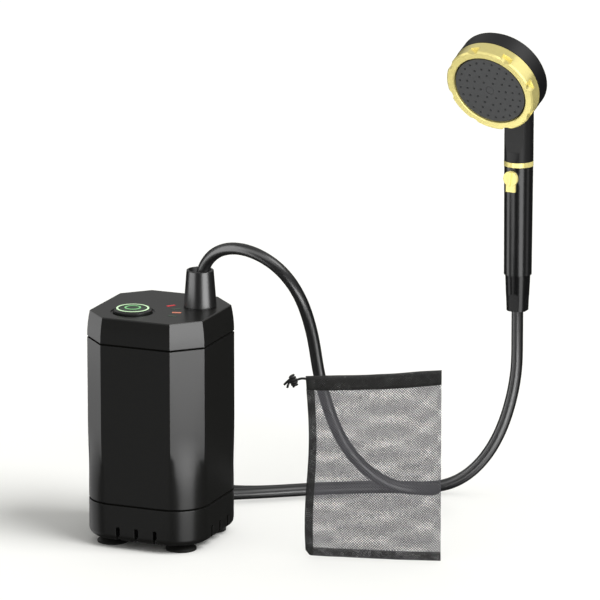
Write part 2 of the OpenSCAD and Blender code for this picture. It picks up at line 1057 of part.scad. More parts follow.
module body_shell() {
    fade = [
        for (k = [0:fade_steps])
            let (f = k / fade_steps)
            [z_seam + fade_start + f * (fade_end - fade_start), 0, 1 - f * f * (3 - 2 * f)]
    ];
    low = [[z_seam, seam_bevel, 1], [z_seam + seam_bevel, 0, 1]];
    high = [[z_cap - seam_bevel, 0, 0], [z_cap, seam_bevel, 0]];
    hinge_half = flap_w / 2 + ear_air;
    color([0.10, 0.10, 0.10])
        difference() {
            union() {
                difference() {
                    casing(concat(low, fade, high));
                    octagon(wall, z_seam - over, z_cap + over);
                }
                at(fastener_spots)
                    disc(post_r, z_dry, z_dry + boss_h);
                for (s = fastener_spots)
                    block(
                        s[0] - boss_web / 2, s[0] + boss_web / 2, min(s[1], sign(s[1]) * (face_in + over)),
                        max(s[1], sign(s[1]) * (face_in + over)), z_dry, z_dry + boss_h
                    );
                for (x = [shelf_left, shelf_right]) {
                    block(x - shelf_w / 2, x + shelf_w / 2, shelf_reach, face_in + over, z_pack - shelf_h, z_pack);
                    block(x - shelf_w / 2, x + shelf_w / 2, -face_in - over, -shelf_reach, z_pack - shelf_h,
                        z_pack);
                }
                for (s = [-1, 1])
                    block(
                        min(s * hinge_half, s * (hinge_half + ear_t)), max(s * hinge_half, s * (hinge_half + ear_t)),
                        face_in + over, half_w + ear_out, z_hinge - ear_h / 2, z_hinge + ear_h / 2
                    );
            }
            at(fastener_spots)
                disc(screw_r + fit, z_dry - over, z_dry + screw_grip + over);
            rod_y(socket_r + slip, z_charge, face_in - over, half_w + over);
            snap_lugs(slip);
            hinge_pin(fit);
        }
}

module hinge_pin(extra) {
    pin_half = flap_w / 2 + ear_air + ear_t;
    translate([-pin_half - extra, y_hinge, z_hinge])
        rotate([0, 90, 0])
            cylinder(r = pin_r + extra, h = 2 * (pin_half + extra));
}

module control_board() {
    top = z_board + board_t;
    color([0.05, 0.30, 0.14])
        difference() {
            union() {
                octagon(board_inset, z_board, top);
                at_button()
                    block(-switch_w / 2, switch_w / 2, -switch_w / 2, switch_w / 2, z_board, top + switch_h);
                at_lamps()
                    block(-lamp_chip_w / 2, lamp_chip_w / 2, -lamp_chip_w / 2, lamp_chip_w / 2, z_board,
                        top + lamp_chip_h);
                translate([chip_x, chip_y, 0])
                    block(-chip_w / 2, chip_w / 2, -chip_w / 2, chip_w / 2, z_board, top + chip_h);
            }
            at_outlet()
                disc(riser_r + 4 * slip, z_board - over, top + over);
            at(board_spots)
                disc(board_screw_r + slip, z_board - over, top + over);
        }
}

module board_screws() {
    color([0.62, 0.63, 0.65])
        at(board_spots) {
            disc(board_screw_head_r, z_board - board_screw_head_h, z_board);
            disc(board_screw_r, z_board - over, z_board + board_t + board_screw_grip);
        }
}

module cap_gasket() {
    z0 = z_cap - skirt_h + cap_groove_z;
    color([0.35, 0.12, 0.10])
        octagon_ring(wall, wall + skirt_play + cap_groove_d, z0, z0 + cap_groove_h);
}

module top_cap() {
    lean = [
        for (k = [1:lean_steps])
            let (f = k / lean_steps)
            [z_cap + seam_bevel + f * (cap_h - seam_bevel - cap_edge), cap_lean * f * f, 0]
    ];
    foot = [[z_cap, seam_bevel, 0], [z_cap + seam_bevel, 0, 0]];
    groove = z_cap - skirt_h + cap_groove_z;
    color([0.10, 0.10, 0.10])
        difference() {
            union() {
                difference() {
                    union() {
                        casing(concat(foot, lean, [[z_top, cap_lean + cap_edge, 0]]));
                        octagon(wall + skirt_play, z_cap - skirt_h, z_cap + over);
                        snap_lugs(0);
                    }
                    octagon(skirt_in, z_cap - skirt_h - over, z_lid);
                }
                at(board_spots)
                    disc(board_boss_r, z_board + board_t, z_lid + over);
            }
            octagon_ring(0, wall + skirt_play + cap_groove_d, groove, groove + cap_groove_h);
            at_button() {
                disc(button_r + gap, z_lid - over, z_top + over);
                disc(dish_r, z_top - dish_d, z_top + over);
            }
            at_lamps()
                block(-lamp_l / 2 - fit, lamp_l / 2 + fit, -lamp_w / 2 - fit, lamp_w / 2 + fit, z_lid - over,
                    z_top + over);
            at_outlet()
                disc(nipple_r + fit, z_lid - over, z_top + over);
            at(board_spots)
                disc(board_screw_r + fit, z_board, z_board + board_t + board_screw_grip + over);
        }
}

module light_ring_grooves() {
    ring(ring_out_r + ring_half, ring_out_r - ring_half, z_top + button_outer - ring_deep, z_top + button_high + over);
    ring(ring_in_r + ring_half, ring_in_r - ring_half, z_top + button_inner - ring_deep, z_top + button_high + over);
}

module power_button() {
    top = z_lid - gap;
    foot = top - button_flange_h;
    plunger = z_board + board_t + switch_h + button_travel + gap;
    color([0.05, 0.10, 0.06])
        at_button()
            difference() {
                rotate_extrude()
                    polygon([
                        [0, plunger], [plunger_r, plunger], [plunger_r, foot], [button_r + button_flange, foot],
                        [button_r + button_flange, top], [button_r, top], [button_r, z_top + button_side],
                        [button_r - button_side, z_top + button_shoulder],
                        [ring_out_r + ring_half, z_top + button_outer], [ring_in_r, z_top + button_inner],
                        [0, z_top + button_high]
                    ]);
                light_ring_grooves();
            }
}

module button_light_rings() {
    color([0.70, 0.95, 0.75])
        at_button() {
            ring(ring_out_r + ring_half, ring_out_r - ring_half, z_top + button_outer - ring_deep,
                z_top + button_outer + ring_proud);
            ring(ring_in_r + ring_half, ring_in_r - ring_half, z_top + button_inner - ring_deep,
                z_top + button_inner + ring_proud);
        }
}

module button_seal() {
    inner = button_r + button_flange + seal_play;
    color([0.08, 0.08, 0.08])
        at_button()
            ring(inner + seal_w, inner, z_lid - seal_h, z_lid);
}

module button_spring() {
    z0 = z_board + board_t + spring_wire / 2;
    z1 = z_lid - gap - button_flange_h - spring_wire / 2;
    count = spring_turns * spring_steps;
    path = [
        for (k = [0:count])
            let (a = 360 * k / spring_steps)
            [spring_r * cos(a), spring_r * sin(a), z0 + (z1 - z0) * k / count]
    ];
    echo(spring_self_gap = (z1 - z0) / spring_turns - spring_wire);
    color([0.65, 0.66, 0.68])
        at_button()
            sweep(path, spring_wire / 2, spring_sides, [1, 0, 0]);
}

module indicator_lenses() {
    pipe = z_board + board_t + lamp_chip_h + pipe_air;
    lip = z_lid - lamp_lip_h;
    color([0.55, 0.15, 0.18])
        at_lamps() {
            block(-lamp_l / 2, lamp_l / 2, -lamp_w / 2, lamp_w / 2, lip, z_top + lamp_proud);
            block(-lamp_l / 2 - lamp_lip, lamp_l / 2 + lamp_lip, -lamp_w / 2 - lamp_lip, lamp_w / 2 + lamp_lip, lip,
                z_lid);
            disc(pipe_r, pipe, lip + over);
        }
}

module riser_tube() {
    color([0.80, 0.82, 0.84])
        at_outlet()
            ring(riser_r, riser_r - riser_wall, z_plate - riser_sink, z_top - riser_top);
}

module outlet_nipple() {
    socket = z_top - riser_top + slip;
    color([0.14, 0.14, 0.15])
        at_outlet()
            difference() {
                union() {
                    disc(nipple_r, z_top - nipple_low, z_top + over);
                    disc(nipple_flange_r, z_top, z_top + nipple_flange_h);
                    disc(barb_r, z_top, z_hose);
                }
                disc(nipple_bore_r, z_top - nipple_low - over, z_hose + over);
                disc(riser_r + fit, z_top - nipple_low - over, socket);
            }
}

module outlet_cone() {
    foot_r = cone_d / 2;
    head_r = foot_r - cone_taper;
    room_r = nipple_flange_r + slip;
    flange = z_top + nipple_flange_h;
    color([0.06, 0.06, 0.06])
        at_outlet()
            rotate_extrude()
                polygon([
                    [room_r, z_top], [foot_r - cone_gap_d, z_top], [foot_r - cone_gap_d, z_top + cone_gap_h],
                    [foot_r, z_top + cone_gap_h], [head_r, z_top + cone_h - cone_bevel],
                    [head_r - cone_bevel, z_top + cone_h], [cone_mouth_r, z_top + cone_h], [cone_mouth_r, flange],
                    [room_r, flange]
                ]);
}

module charge_socket() {
    front = half_w - socket_back;
    back = front - socket_l;
    color([0.13, 0.13, 0.14]) {
        difference() {
            union() {
                rod_y(socket_r, z_charge, back, front);
                rod_y(socket_flange_r, z_charge, face_in - socket_flange_t, face_in);
                block(-terminal_w / 2, terminal_w / 2, back - terminal_d, back + over, z_charge - terminal_h / 2,
                    z_charge + terminal_h / 2);
            }
            rod_y(socket_mouth_r, z_charge, front - socket_mouth_l, front + over);
        }
        rod_y(socket_pin_r, z_charge, front - socket_mouth_l - over, front - socket_mouth_l + socket_pin_l);
    }
}

module charge_leads() {
    y_wire = half_w - socket_back - socket_l - terminal_d / 2;
    color([0.12, 0.12, 0.45])
        for (s = [-1, 1])
            translate([s * wire_x, y_wire, 0])
                disc(lead_r, z_charge + terminal_h / 2, z_board);
}

module charge_flap() {
    inner = half_w + flap_air;
    low = z_charge - flap_down;
    color([0.09, 0.09, 0.09])
        difference() {
            union() {
                block(-flap_w / 2, flap_w / 2, inner, inner + flap_t, low, z_hinge);
                block(-flap_tab_w / 2, flap_tab_w / 2, inner, inner + flap_t + flap_tab_out, low - flap_tab_h,
                    low + over);
                translate([-flap_w / 2, y_hinge, z_hinge])
                    rotate([0, 90, 0])
                        cylinder(r = knuckle_r, h = flap_w);
                rod_y(flap_plug_r, z_charge, inner - flap_plug_h, inner + over);
            }
            hinge_pin(run);
        }
}

module flap_pin() {
    color([0.62, 0.63, 0.65])
        hinge_pin(0);
}

module shower_hose() {
    color([0.12, 0.12, 0.13])
        sweep(curve(hose_route, hose_rings), hose_r, hose_sides, [1, 0, 0]);
}

module hose_tail() {
    flange = z_tail + tail_h;
    color([0.66, 0.60, 0.42])
        at_handset()
            difference() {
                union() {
                    disc(tail_r, z_tail, flange);
                    disc(tail_spigot_r, z_tail, flange + tail_spigot_h);
                }
                disc(tail_bore_r, z_tail - over, flange + tail_spigot_h + over);
            }
}

module grip_flat() {
    top = z_collar + flat_top;
    translate([0, -flat_at, 0]) {
        block(-flat_w / 2, flat_w / 2, -collar_r1, 0, z_collar - over, top);
        rod_y(flat_w / 2, top, -collar_r1, 0);
    }
}

module swivel_collar() {
    ledge = z_collar + collar_step;
    room = ledge + collar_room_h;
    color([0.07, 0.07, 0.07])
        at_handset()
            difference() {
                rotate_extrude()
                    polygon([
                        [collar_bore_r, z_collar], [collar_r0, z_collar], [collar_r1, z_handle],
                        [stub_r + fit, z_handle], [stub_r + fit, room], [collar_room_r, room],
                        [collar_room_r, ledge], [collar_bore_r, ledge]
                    ]);
                for (a = flat_angles)
                    rotate([0, 0, a])
                        grip_flat();
            }
}

module swivel_washer() {
    color([0.30, 0.10, 0.09])
        at_handset()
            ring(collar_room_r - fit, tail_spigot_r + run, z_tail + tail_h + gap, z_handle - stub_h);
}

module handle_tube() {
    low = z_handle - stub_h;
    color([0.08, 0.08, 0.08])
        at_handset()
            difference() {
                union() {
                    rotate_extrude()
                        polygon([
                            [stub_bore_r, low], [stub_r, low], [stub_r, z_handle], [handle_r0, z_handle],
                            [handle_r1, z_band], [spigot_r, z_band], [spigot_r, z_band + band_h + spigot_h],
                            [handle_bore_r, z_band + band_h + spigot_h], [handle_bore_r, z_handle + stub_wall_h],
                            [stub_bore_r, z_handle + stub_wall_h]
                        ]);
                    rod_y(knob_seat_r, z_knob, -knob_seat, -handle_bore_r - over);
                }
                rod_y(spindle_r + run, z_knob, -knob_seat - over, 0);
                rod_y(oring_r, z_knob, -oring_at - oring_h / 2, -oring_at + oring_h / 2);
            }
}

module neck_band() {
    color([0.85, 0.75, 0.36])
        at_handset()
            ring(handle_r1 + band_proud, spigot_r + fit, z_band, z_neck);
}

module flow_knob() {
    color([0.85, 0.75, 0.36])
        at_handset()
            translate([0, -knob_back, z_knob])
                rotate([90, 0, 0]) {
                    cylinder(r = knob_r, h = knob_h);
                    block(-knob_tail_w / 2, knob_tail_w / 2, -knob_tail_l, 0, 0, knob_tail_h);
                    rotate([0, 0, -ridge_turn])
                        block(-ridge_w / 2, ridge_w / 2, -ridge_l / 2, ridge_l / 2, 0, knob_h + ridge_h);
                }
}

module valve_spindle() {
    color([0.66, 0.60, 0.42])
        at_handset()
            difference() {
                union() {
                    rod_y(spindle_r, z_knob, -knob_back, -spindle_in + over);
                    translate([0, 0, z_knob])
                        sphere(r = ball_r);
                }
                disc(ball_bore_r, z_knob - ball_r - over, z_knob + ball_r + over);
            }
}

module spindle_seal() {
    color([0.30, 0.10, 0.09])
        at_handset()
            difference() {
                rod_y(oring_r, z_knob, -oring_at - oring_h / 2, -oring_at + oring_h / 2);
                rod_y(spindle_r + run, z_knob, -oring_at - oring_h, -oring_at + oring_h);
            }
}

// Neck with a flat front that slants in from the round foot, flat sides and a back that leans to the front
module neck() {
    low = z_neck + neck_flat_low;
    high = z_neck + neck_flat_high;
    top = z_neck + neck_up;
    out = neck_r + over;
    difference() {
        disc(neck_r, z_neck, top);
        translate([-out, 0, 0])
            rotate([90, 0, 90])
                linear_extrude(height = 2 * out)
                    polygon([
                        [-neck_r, low], [-neck_flat, high], [-neck_flat, top + over], [-2 * neck_r, top + over],
                        [-2 * neck_r, low]
                    ]);
        translate([-out, 0, 0])
            rotate([90, 0, 90])
                linear_extrude(height = 2 * out)
                    polygon([
                        [neck_r + over, z_neck + neck_back_low], [neck_r, z_neck + neck_back_low],
                        [neck_back, z_neck + neck_back_high], [neck_ridge, top], [neck_ridge, top + over],
                        [neck_r + over, top + over]
                    ]);
        for (s = [-1, 1])
            block(
                min(s * neck_side, s * 2 * neck_r), max(s * neck_side, s * 2 * neck_r), -2 * neck_r, 2 * neck_r,
                z_neck + neck_side_low, top + over
            );
    }
}

module head_shell() {
    duct = z_neck + neck_bore_up;
    color([0.08, 0.08, 0.09])
        at_handset()
            difference() {
                union() {
                    neck();
                    in_head()
                        rotate_extrude()
                            polygon(concat(
                                fairing, [[drum_r, drum_back], [drum_r, drum_front], [0, drum_front]]
                            ));
                }
                in_head() {
                    ring(drum_room_r, boss_r, drum_floor, drum_ledge);
                    ring(drum_ledge_r, boss_r, drum_ledge, drum_front + over);
                    disc(boss_r + over, drum_front - gasket_t, drum_front + over);
                    disc(pivot_screw_r + fit, drum_front - pivot_low, drum_front + over);
                }
                disc(spigot_r + fit, z_neck - over, z_neck + spigot_h);
                disc(neck_bore_r, z_neck, duct);
                translate([0, 0, duct])
                    rotate([90 + head_tilt, 0, 0])
                        cylinder(r = duct_r, h = duct_l);
            }
}

module flow_disc() {
    color([0.82, 0.83, 0.84])
        at_head()
            difference() {
                ring(drum_ledge_r - fit, boss_r + slip, drum_ledge, drum_ledge + flow_disc_t);
                for (k = [0:flow_port_count - 1])
                    rotate([0, 0, 360 * k / flow_port_count])
                        translate([flow_port_at, 0, 0])
                            disc(flow_port_r, drum_ledge - over, drum_front);
            }
}

module head_gasket() {
    color([0.30, 0.10, 0.09])
        at_head()
            ring(drum_ledge_r - fit, drum_ledge_r - gasket_w, drum_front - gasket_t, drum_front);
}

module selector_ring() {
    color([0.85, 0.75, 0.36])
        at_head()
            difference() {
                rotate_extrude()
                    polygon([
                        [ring_bore_r, ring_back], [ring_r, ring_back], [ring_r, ring_front - ring_bevel],
                        [ring_r - ring_bevel, ring_front], [ring_bore_r + ring_bevel / 2, ring_front],
                        [ring_bore_r, ring_front - ring_bevel / 2]
                    ]);
                for (k = [0:notch_count - 1])
                    rotate([0, 0, notch_turn + 360 * k / notch_count])
                        translate([notch_at, 0, 0])
                            disc(notch_r, ring_front - notch_deep, ring_front + over);
            }
}

module nozzles(r, z0, z1) {
    for (row = nozzle_rows)
        for (k = [0:row[1] - 1])
            rotate([0, 0, 360 * k / row[1]])
                translate([row[0], 0, 0])
                    disc(r, z0, z1);
}

module nozzle_plate() {
    back = plate_front - plate_thick;
    color([0.33, 0.33, 0.34])
        at_head()
            difference() {
                union() {
                    disc(plate_r, back, plate_front);
                    disc(pivot_r, drum_front, back + over);
                }
                nozzles(nozzle_r, back - over, plate_front + over);
                disc(pivot_screw_r + run, drum_front - over, plate_front + over);
                disc(pivot_head_r + gap, plate_front - pivot_sink, plate_front + over);
            }
}

module nozzle_mat() {
    front = plate_front - plate_thick;
    color([0.10, 0.10, 0.11])
        at_head()
            difference() {
                union() {
                    disc(ring_bore_r - fit, front - mat_t, front);
                    nozzles(nub_r, front - over, plate_front + nub_proud);
                }
                disc(pivot_r + fit, front - mat_t - over, front + over);
            }
}

module selector_screw() {
    head = plate_front - pivot_sink + gap;
    color([0.62, 0.63, 0.65])
        at_head() {
            disc(pivot_screw_r, drum_front - pivot_low + slip, head + over / 2);
            disc(pivot_head_r, head, head + pivot_head_h);
        }
}

module mesh_bag() {
    color([0.20, 0.20, 0.21, 0.6])
        at_bag()
            difference() {
                block(-bag_w / 2, bag_w / 2, -bag_t / 2, bag_t / 2, 0, bag_h);
                translate([-bag_w / 2 - over, 0, bag_h - hem_z])
                    rotate([0, 90, 0])
                        cylinder(r = tunnel_r, h = bag_w - cord_end_in + over);
            }
}

module drawstring() {
    z = bag_h - hem_z;
    knot_x = -bag_w / 2 - knot_out;
    route = [
        [bag_w / 2 - 2 * cord_end_in, 0, z], [bag_w / 4, 0, z], [0, 0, z], [-bag_w / 4, 0, z], [-bag_w / 2, 0, z],
        [knot_x + knot_r, 0, z]
    ];
    color([0.06, 0.06, 0.06])
        at_bag()
            sweep(curve(route, cord_rings), cord_r, cord_sides, [0, 0, 1]);
}

module drawstring_knot() {
    color([0.06, 0.06, 0.06])
        at_bag()
            translate([-bag_w / 2 - knot_out, 0, bag_h - hem_z]) {
                rotate([0, -90, 0])
                    cylinder(r = knot_r - cord_r, h = 2 * knot_r, center = true);
                for (turn = knot_tail_turns)
                    rotate(turn)
                        cylinder(r = cord_r, h = knot_tail_l);
            }
}

suction_feet();
base_cover();
base_screws();
bulkhead();
base_gasket();
intake_screen();
intake_plate();
pump_housing();
housing_screws();
impeller();
shaft_seal();
motor_can();
motor_magnets();
motor_bearings();
motor_end_bell();
motor_screws();
rotor();
motor_leads();
battery_holder();
battery_cells();
body_shell();
control_board();
board_screws();
cap_gasket();
top_cap();
power_button();
button_light_rings();
button_seal();
button_spring();
indicator_lenses();
riser_tube();
outlet_nipple();
outlet_cone();
charge_socket();
charge_leads();
charge_flap();
flap_pin();
shower_hose();
hose_tail();
swivel_collar();
swivel_washer();
handle_tube();
neck_band();
flow_knob();
valve_spindle();
spindle_seal();
head_shell();
flow_disc();
head_gasket();
selector_ring();
nozzle_plate();
nozzle_mat();
selector_screw();
mesh_bag();
drawstring();
drawstring_knot();
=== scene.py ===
"""Camp shower pump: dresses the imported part, lays its hose, makes its mesh bag and sets the stage."""

import math

import bpy
from mathutils import Matrix, Vector, noise


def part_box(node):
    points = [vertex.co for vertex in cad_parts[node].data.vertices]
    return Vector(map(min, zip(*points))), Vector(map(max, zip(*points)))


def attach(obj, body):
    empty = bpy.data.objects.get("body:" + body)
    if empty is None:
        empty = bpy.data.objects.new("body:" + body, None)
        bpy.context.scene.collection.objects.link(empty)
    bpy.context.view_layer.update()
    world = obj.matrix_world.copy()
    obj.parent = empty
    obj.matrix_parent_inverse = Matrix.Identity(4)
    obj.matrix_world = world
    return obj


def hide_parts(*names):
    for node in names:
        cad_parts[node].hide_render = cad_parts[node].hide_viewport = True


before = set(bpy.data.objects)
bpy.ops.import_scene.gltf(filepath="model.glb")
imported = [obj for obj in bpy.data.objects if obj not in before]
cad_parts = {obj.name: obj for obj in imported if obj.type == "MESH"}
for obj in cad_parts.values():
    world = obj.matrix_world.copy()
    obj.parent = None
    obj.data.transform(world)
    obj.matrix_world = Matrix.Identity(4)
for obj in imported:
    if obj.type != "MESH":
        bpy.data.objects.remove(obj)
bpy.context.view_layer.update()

bl_info = {
    "name": "Camp Shower Pump",
    "version": (1, 0, 0),
    "blender": (4, 5, 0),
    "location": "3D View > Sidebar > Pump",
    "description": "Dresses the pump, lays its hose, makes its mesh bag and sets the stage",
    "category": "Object",
}

MM = 0.001

# Control points of the hose in millimetres, with 0 for the height at which it lies on the floor: arch, fall
# behind the bag, turn on its edge, run to the left, loop behind the pump, way back and rise to the handset
HOSE_ROUTE = (
    (27.5, 14.5, 193.8), (27.5, 14.5, 204.5), (32, 11.2, 221), (47.8, 3.6, 236.8), (73.5, -1.8, 241),
    (99.5, 0.2, 229), (112, 10.5, 207), (115, 23, 184.5), (116, 34, 161), (115, 43.5, 136.5),
    (117, 52.5, 112.5), (121, 61.5, 88), (128.5, 71.5, 65), (140.5, 84, 45.5), (156, 98.5, 30.5),
    (171.5, 113, 26.5), (178, 135, 21), (171.5, 156.5, 15.5), (154, 171.5, 10.5), (130.5, 175.5, 6.9),
    (107, 165.5, 6.9), (86, 154, 6.9), (65.5, 141, 6.9), (45.5, 127, 6.9), (25.5, 113, 6.9),
    (3.5, 102, 6.5), (-7.5, 83, 5.5), (-21, 59, 0), (-44.5, 48.5, 0), (-69, 52, 0), (-87.5, 69, 0),
    (-94, 93, 0), (-86, 116.5, 0), (-65.5, 132.5, 0), (-39, 134, 0), (-16, 121.5, 0), (8, 121, 0),
    (31, 129.5, 0), (51, 143.5, 0), (71, 157.5, 0), (92.5, 169.5, 0), (114, 181, 0), (137.5, 188, 0),
    (163, 195, 5.3), (183, 201, 16.5), (198.5, 206, 35.5), (209, 209, 58.5), (215.5, 210.6, 82.5),
    (219.4, 211, 106.5), (219.6, 210, 130.9), (219.6, 210, 163.9),
)
# Points along each stretch of the hose, the string and the knot's tails, and how round their sections are
HOSE_STEPS, STRING_STEPS, TAIL_STEPS = 8, 6, 5
HOSE_SIDES, STRING_SIDES = 7, 3

# Where the bag stands, its turn about the vertical and where its drawstring is knotted, in its own plane
BAG_AT = Vector((179.1, 2.6, 0)) * MM
BAG_TURN = math.radians(17.4)
KNOT_AT = Vector((-62.7, 0, 142.1)) * MM

# Places across the bag, from -1 to 1, between which the drawstring runs in the hem, and how far below the top
STRING_PLACES = (0.86, 0.5, 0.0, -0.5, -0.9, -1.02)
STRING_DROP = 0.0018
# The string's last points, the knot's axis and its tails in millimetres from the knot's middle
STRING_END = ((6.8, 0, 2.5), (2.6, 0, 0.9), (1.2, 0, 0.4))
KNOT_AXIS = Vector((2.8, 0, -8.5))
KNOT_TAILS = (
    ((0, 0, 2.6), (-2.2, -1.4, 2.2), (-4.6, -1.4, -0.2), (-7.2, -1.2, -3)),
    ((0, 0, 1), (-2.4, -1.6, 0.4), (-4, -1.6, -2.2), (-4.7, -1.4, -5.2)),
    ((-1.2, 0, 3.6), (0, 0, 0), (1.2, 0, -3.4)),
)
# Windings of the knot, the points along them, and the radius at its ends and what its middle adds to that
KNOT_WINDINGS = 4.5
KNOT_STEPS = 90
KNOT_RADIUS = 1.5
KNOT_BELLY = 0.9

# The bag's top hangs through by this much, along this share of a cosine
BAG_SAG = 0.0016
SAG_TURN = 1.45
# The bag's foot rises to the left of one place, and more at the cut corner beyond another
FOOT_RISE = 0.0014
FOOT_FLAT = 0.35
CORNER_RISE = 0.004
CORNER_FROM = 0.94
CORNER_WIDE = 0.06
# The left edge swings out and in by this much, with its wave shifted up the edge
EDGE_WAVE = 0.0016
EDGE_SHIFT = 0.4
# Half the gap that the two layers keep where they meet
LAYER_GAP = 0.0003
# How often wide and fine creases come across and up the cloth, and how much the fine ones slant and count
WIDE_CREASES = (2.3, 3.1)
FINE_CREASES = (5.1, 6.3)
FINE_SLANT = 2
FINE_SHARE = 0.5
# Steps of the cloth's mesh across and up
CLOTH_ACROSS, CLOTH_ROWS = 40, 56
# How far the pattern of the back layer leans, and how far apart the hems' front and back lie in the pattern
BACK_LEAN = 0.08
HEM_APART = 0.2

# Turn of the net's rows, how uneven its holes are, and how thin and thick its threads get against their mean
NET_TURN = math.radians(42)
NET_UNEVEN = 0.25
THREAD_SHARES = (0.84, 1.16)
# Width of the cloth's threads as a share of the pitch, and the hems' pitch as a share of the cloth's
NET_COVER = 0.138
HEM_PITCH = 0.8
# Patches of thick threads and of folds: how many to a metre, and the parts of their noise that they follow
PATCHES = 110.0
THREAD_NOISE = (0.25, 0.75)
FOLD_NOISE = (0.3, 0.7)
# The net's pattern is laid on the cloth by this UV map
CLOTH_UV = "cloth"

# Depth of the grain, how far roughness differs with it, and the roughness of a clear coat
GRAIN_DEPTH = 0.0002
ROUGH_SPREAD = 0.05
COAT_ROUGH = 0.08
# Gloss of plain plastic
PLAIN_GLOSS = 0.5
# CAD points that are nearer than this are one, and edges that bend more than this stay sharp
WELD = 0.000002
SHARP = math.radians(28)

# Width of the camera's sensor in millimetres and how far it sees
SENSOR = 36.0
SIGHT = 60.0

# The inner ring of the button lies inside this share of the outer one's reach
INNER_RING = 0.75
# Turns about the button, in degrees from +X, beyond or between which the red and the orange lamps lie
RED_FROM = 45
ORANGE_FROM, ORANGE_TO = 6, 25

CASING_NODES = ("base_cover", "body_shell", "top_cap")
HANDSET_NODES = ("handle_tube", "head_shell")
GOLD_NODES = ("neck_band", "flow_knob", "selector_ring")

# Finishes inside the casing and the handset: colour, roughness, metal and the pieces that have them
INNER_LOOKS = (
    ("inner", 0.55, 0.0, ("bulkhead", "intake_plate")),
    ("inner", 0.6, 0.0, ("intake_screen", "battery_holder")),
    ("inner", 0.5, 0.0, ("pump_housing", "motor_end_bell")),
    ("inner", 0.45, 0.0, ("outlet_nipple",)),
    ("inner", 0.4, 0.0, ("charge_socket",)),
    ("ivory", 0.4, 0.0, ("impeller", "flow_disc")),
    ("ivory", 0.25, 0.0, ("riser_tube",)),
    ("seal", 0.7, 0.0, ("base_gasket", "cap_gasket", "head_gasket")),
    ("seal", 0.65, 0.0, ("swivel_washer",)),
    ("seal", 0.6, 0.0, ("shaft_seal", "spindle_seal")),
    ("steel", 0.38, 1.0, ("motor_can",)),
    ("steel", 0.3, 1.0, ("base_screws", "housing_screws", "motor_screws", "board_screws")),
    ("steel", 0.25, 1.0, ("flap_pin", "button_spring")),
    ("brass", 0.35, 1.0, ("motor_bearings",)),
    ("brass", 0.3, 1.0, ("hose_tail",)),
    ("brass", 0.25, 1.0, ("valve_spindle",)),
    ("copper", 0.4, 0.8, ("rotor",)),
    ("magnet", 0.5, 0.6, ("motor_magnets",)),
    ("plate", 0.42, 0.0, ("selector_screw",)),
    ("lead_red", 0.5, 0.0, ("motor_leads",)),
    ("lead_blue", 0.5, 0.0, ("charge_leads",)),
    ("cell", 0.35, 0.0, ("battery_cells",)),
    ("board", 0.45, 0.0, ("control_board",)),
)

# Soft lights that only some pieces mirror: name, pieces, azimuth in degrees from +X, distance, width, foot
# and head in metres, and brightness
SOFTBOXES = (
    ("casing_front", CASING_NODES, -112.5, 1.5, 1.6, -0.95, 0.2, 0.17),
    ("casing_right_low", CASING_NODES, -32.5, 0.75, 0.62, -0.5, -0.03, 1.1),
    ("casing_right_high", CASING_NODES, -32.5, 0.75, 0.62, -0.03, 0.5, 4.8),
    ("casing_left_low", CASING_NODES, 170, 0.8, 0.92, -0.6, -0.05, 0.45),
    ("casing_left_high", CASING_NODES, 170, 0.8, 0.92, -0.05, 0.4, 0.85),
    ("cone_left", ("outlet_cone",), -137, 1.5, 1.6, -1.0, 0.9, 4.2),
    ("cone_right", ("outlet_cone",), -26, 1.5, 1.25, -1.0, 0.9, 7.3),
    ("hose_top", ("hose",), -75, 1.5, 2.2, 0.7, 3.5, 2.2),
    ("hose_left", ("hose",), -140, 1.5, 1.6, -1.0, 2.0, 4.4),
    ("hose_right", ("hose",), -18, 1.5, 1.6, -0.45, 0.4, 0.6),
    ("hose_low", ("hose",), -10, 1.5, 1.2, -2.4, -0.5, 2.4),
    ("hose_near", ("hose",), -20, 0.41, 0.36, -0.15, 0.03, 8.5),
    ("handset_left", HANDSET_NODES, -137, 1.6, 2.7, -0.9, 1.1, 1.8),
    ("handset_right", HANDSET_NODES, -36, 1.6, 0.9, -0.9, 1.1, 2.9),
    ("handset_rim", HANDSET_NODES, 16, 1.6, 0.5, -0.9, 1.1, 0.5),
    ("collar_left", ("swivel_collar",), -137, 1.6, 2.7, -0.9, 1.1, 0.8),
    ("collar_right", ("swivel_collar",), -28, 1.6, 0.9, -0.9, 1.1, 2.0),
    ("gold_face", GOLD_NODES, -151, 1.0, 1.6, -2.4, -0.3, 1.3),
    ("gold_left", GOLD_NODES, -137, 1.6, 2.2, -0.9, 1.1, 0.7),
    ("gold_right", GOLD_NODES, -36, 1.6, 0.9, -0.9, 1.1, 0.9),
    ("gold_back", GOLD_NODES, 32, 1.6, 1.6, 0.6, 2.0, 0.65),
)
# The key light comes from the right, from behind the camera and from above by these shares
KEY_RIGHT, KEY_BEHIND, KEY_UP = 0.62, 0.35, 0.78
KEY_ANGLE = 38
# A wide light on the gold trim comes from here
GOLD_FILL_FROM = Vector((0.1, -0.95, -0.25))
GOLD_FILL = 1.75
GOLD_FILL_ANGLE = 80

# Half the floor's side
FLOOR_REACH = 9.0
# The sky: its tint, the tint that shows behind the pieces, and what the pieces mirror from the horizon up
SKY_TINT = (1.0, 1.0, 0.985, 1.0)
BACKDROP_TINT = (0.985, 0.985, 0.96, 1.0)
MIRROR_HEIGHTS = (0.0, 0.55)
MIRROR_TONES = (0.03, 0.65)


def colour(name, text, value):
    """A colour property with a plain name and description."""
    return bpy.props.FloatVectorProperty(
        name=name, description=text, subtype="COLOR", size=3, min=0.0, max=1.0, default=value
    )


def length(name, text, value, low=0.0, high=1.0):
    """A length property in metres."""
    return bpy.props.FloatProperty(
        name=name, description=text, default=value, min=low, max=high, precision=4, unit="LENGTH"
    )


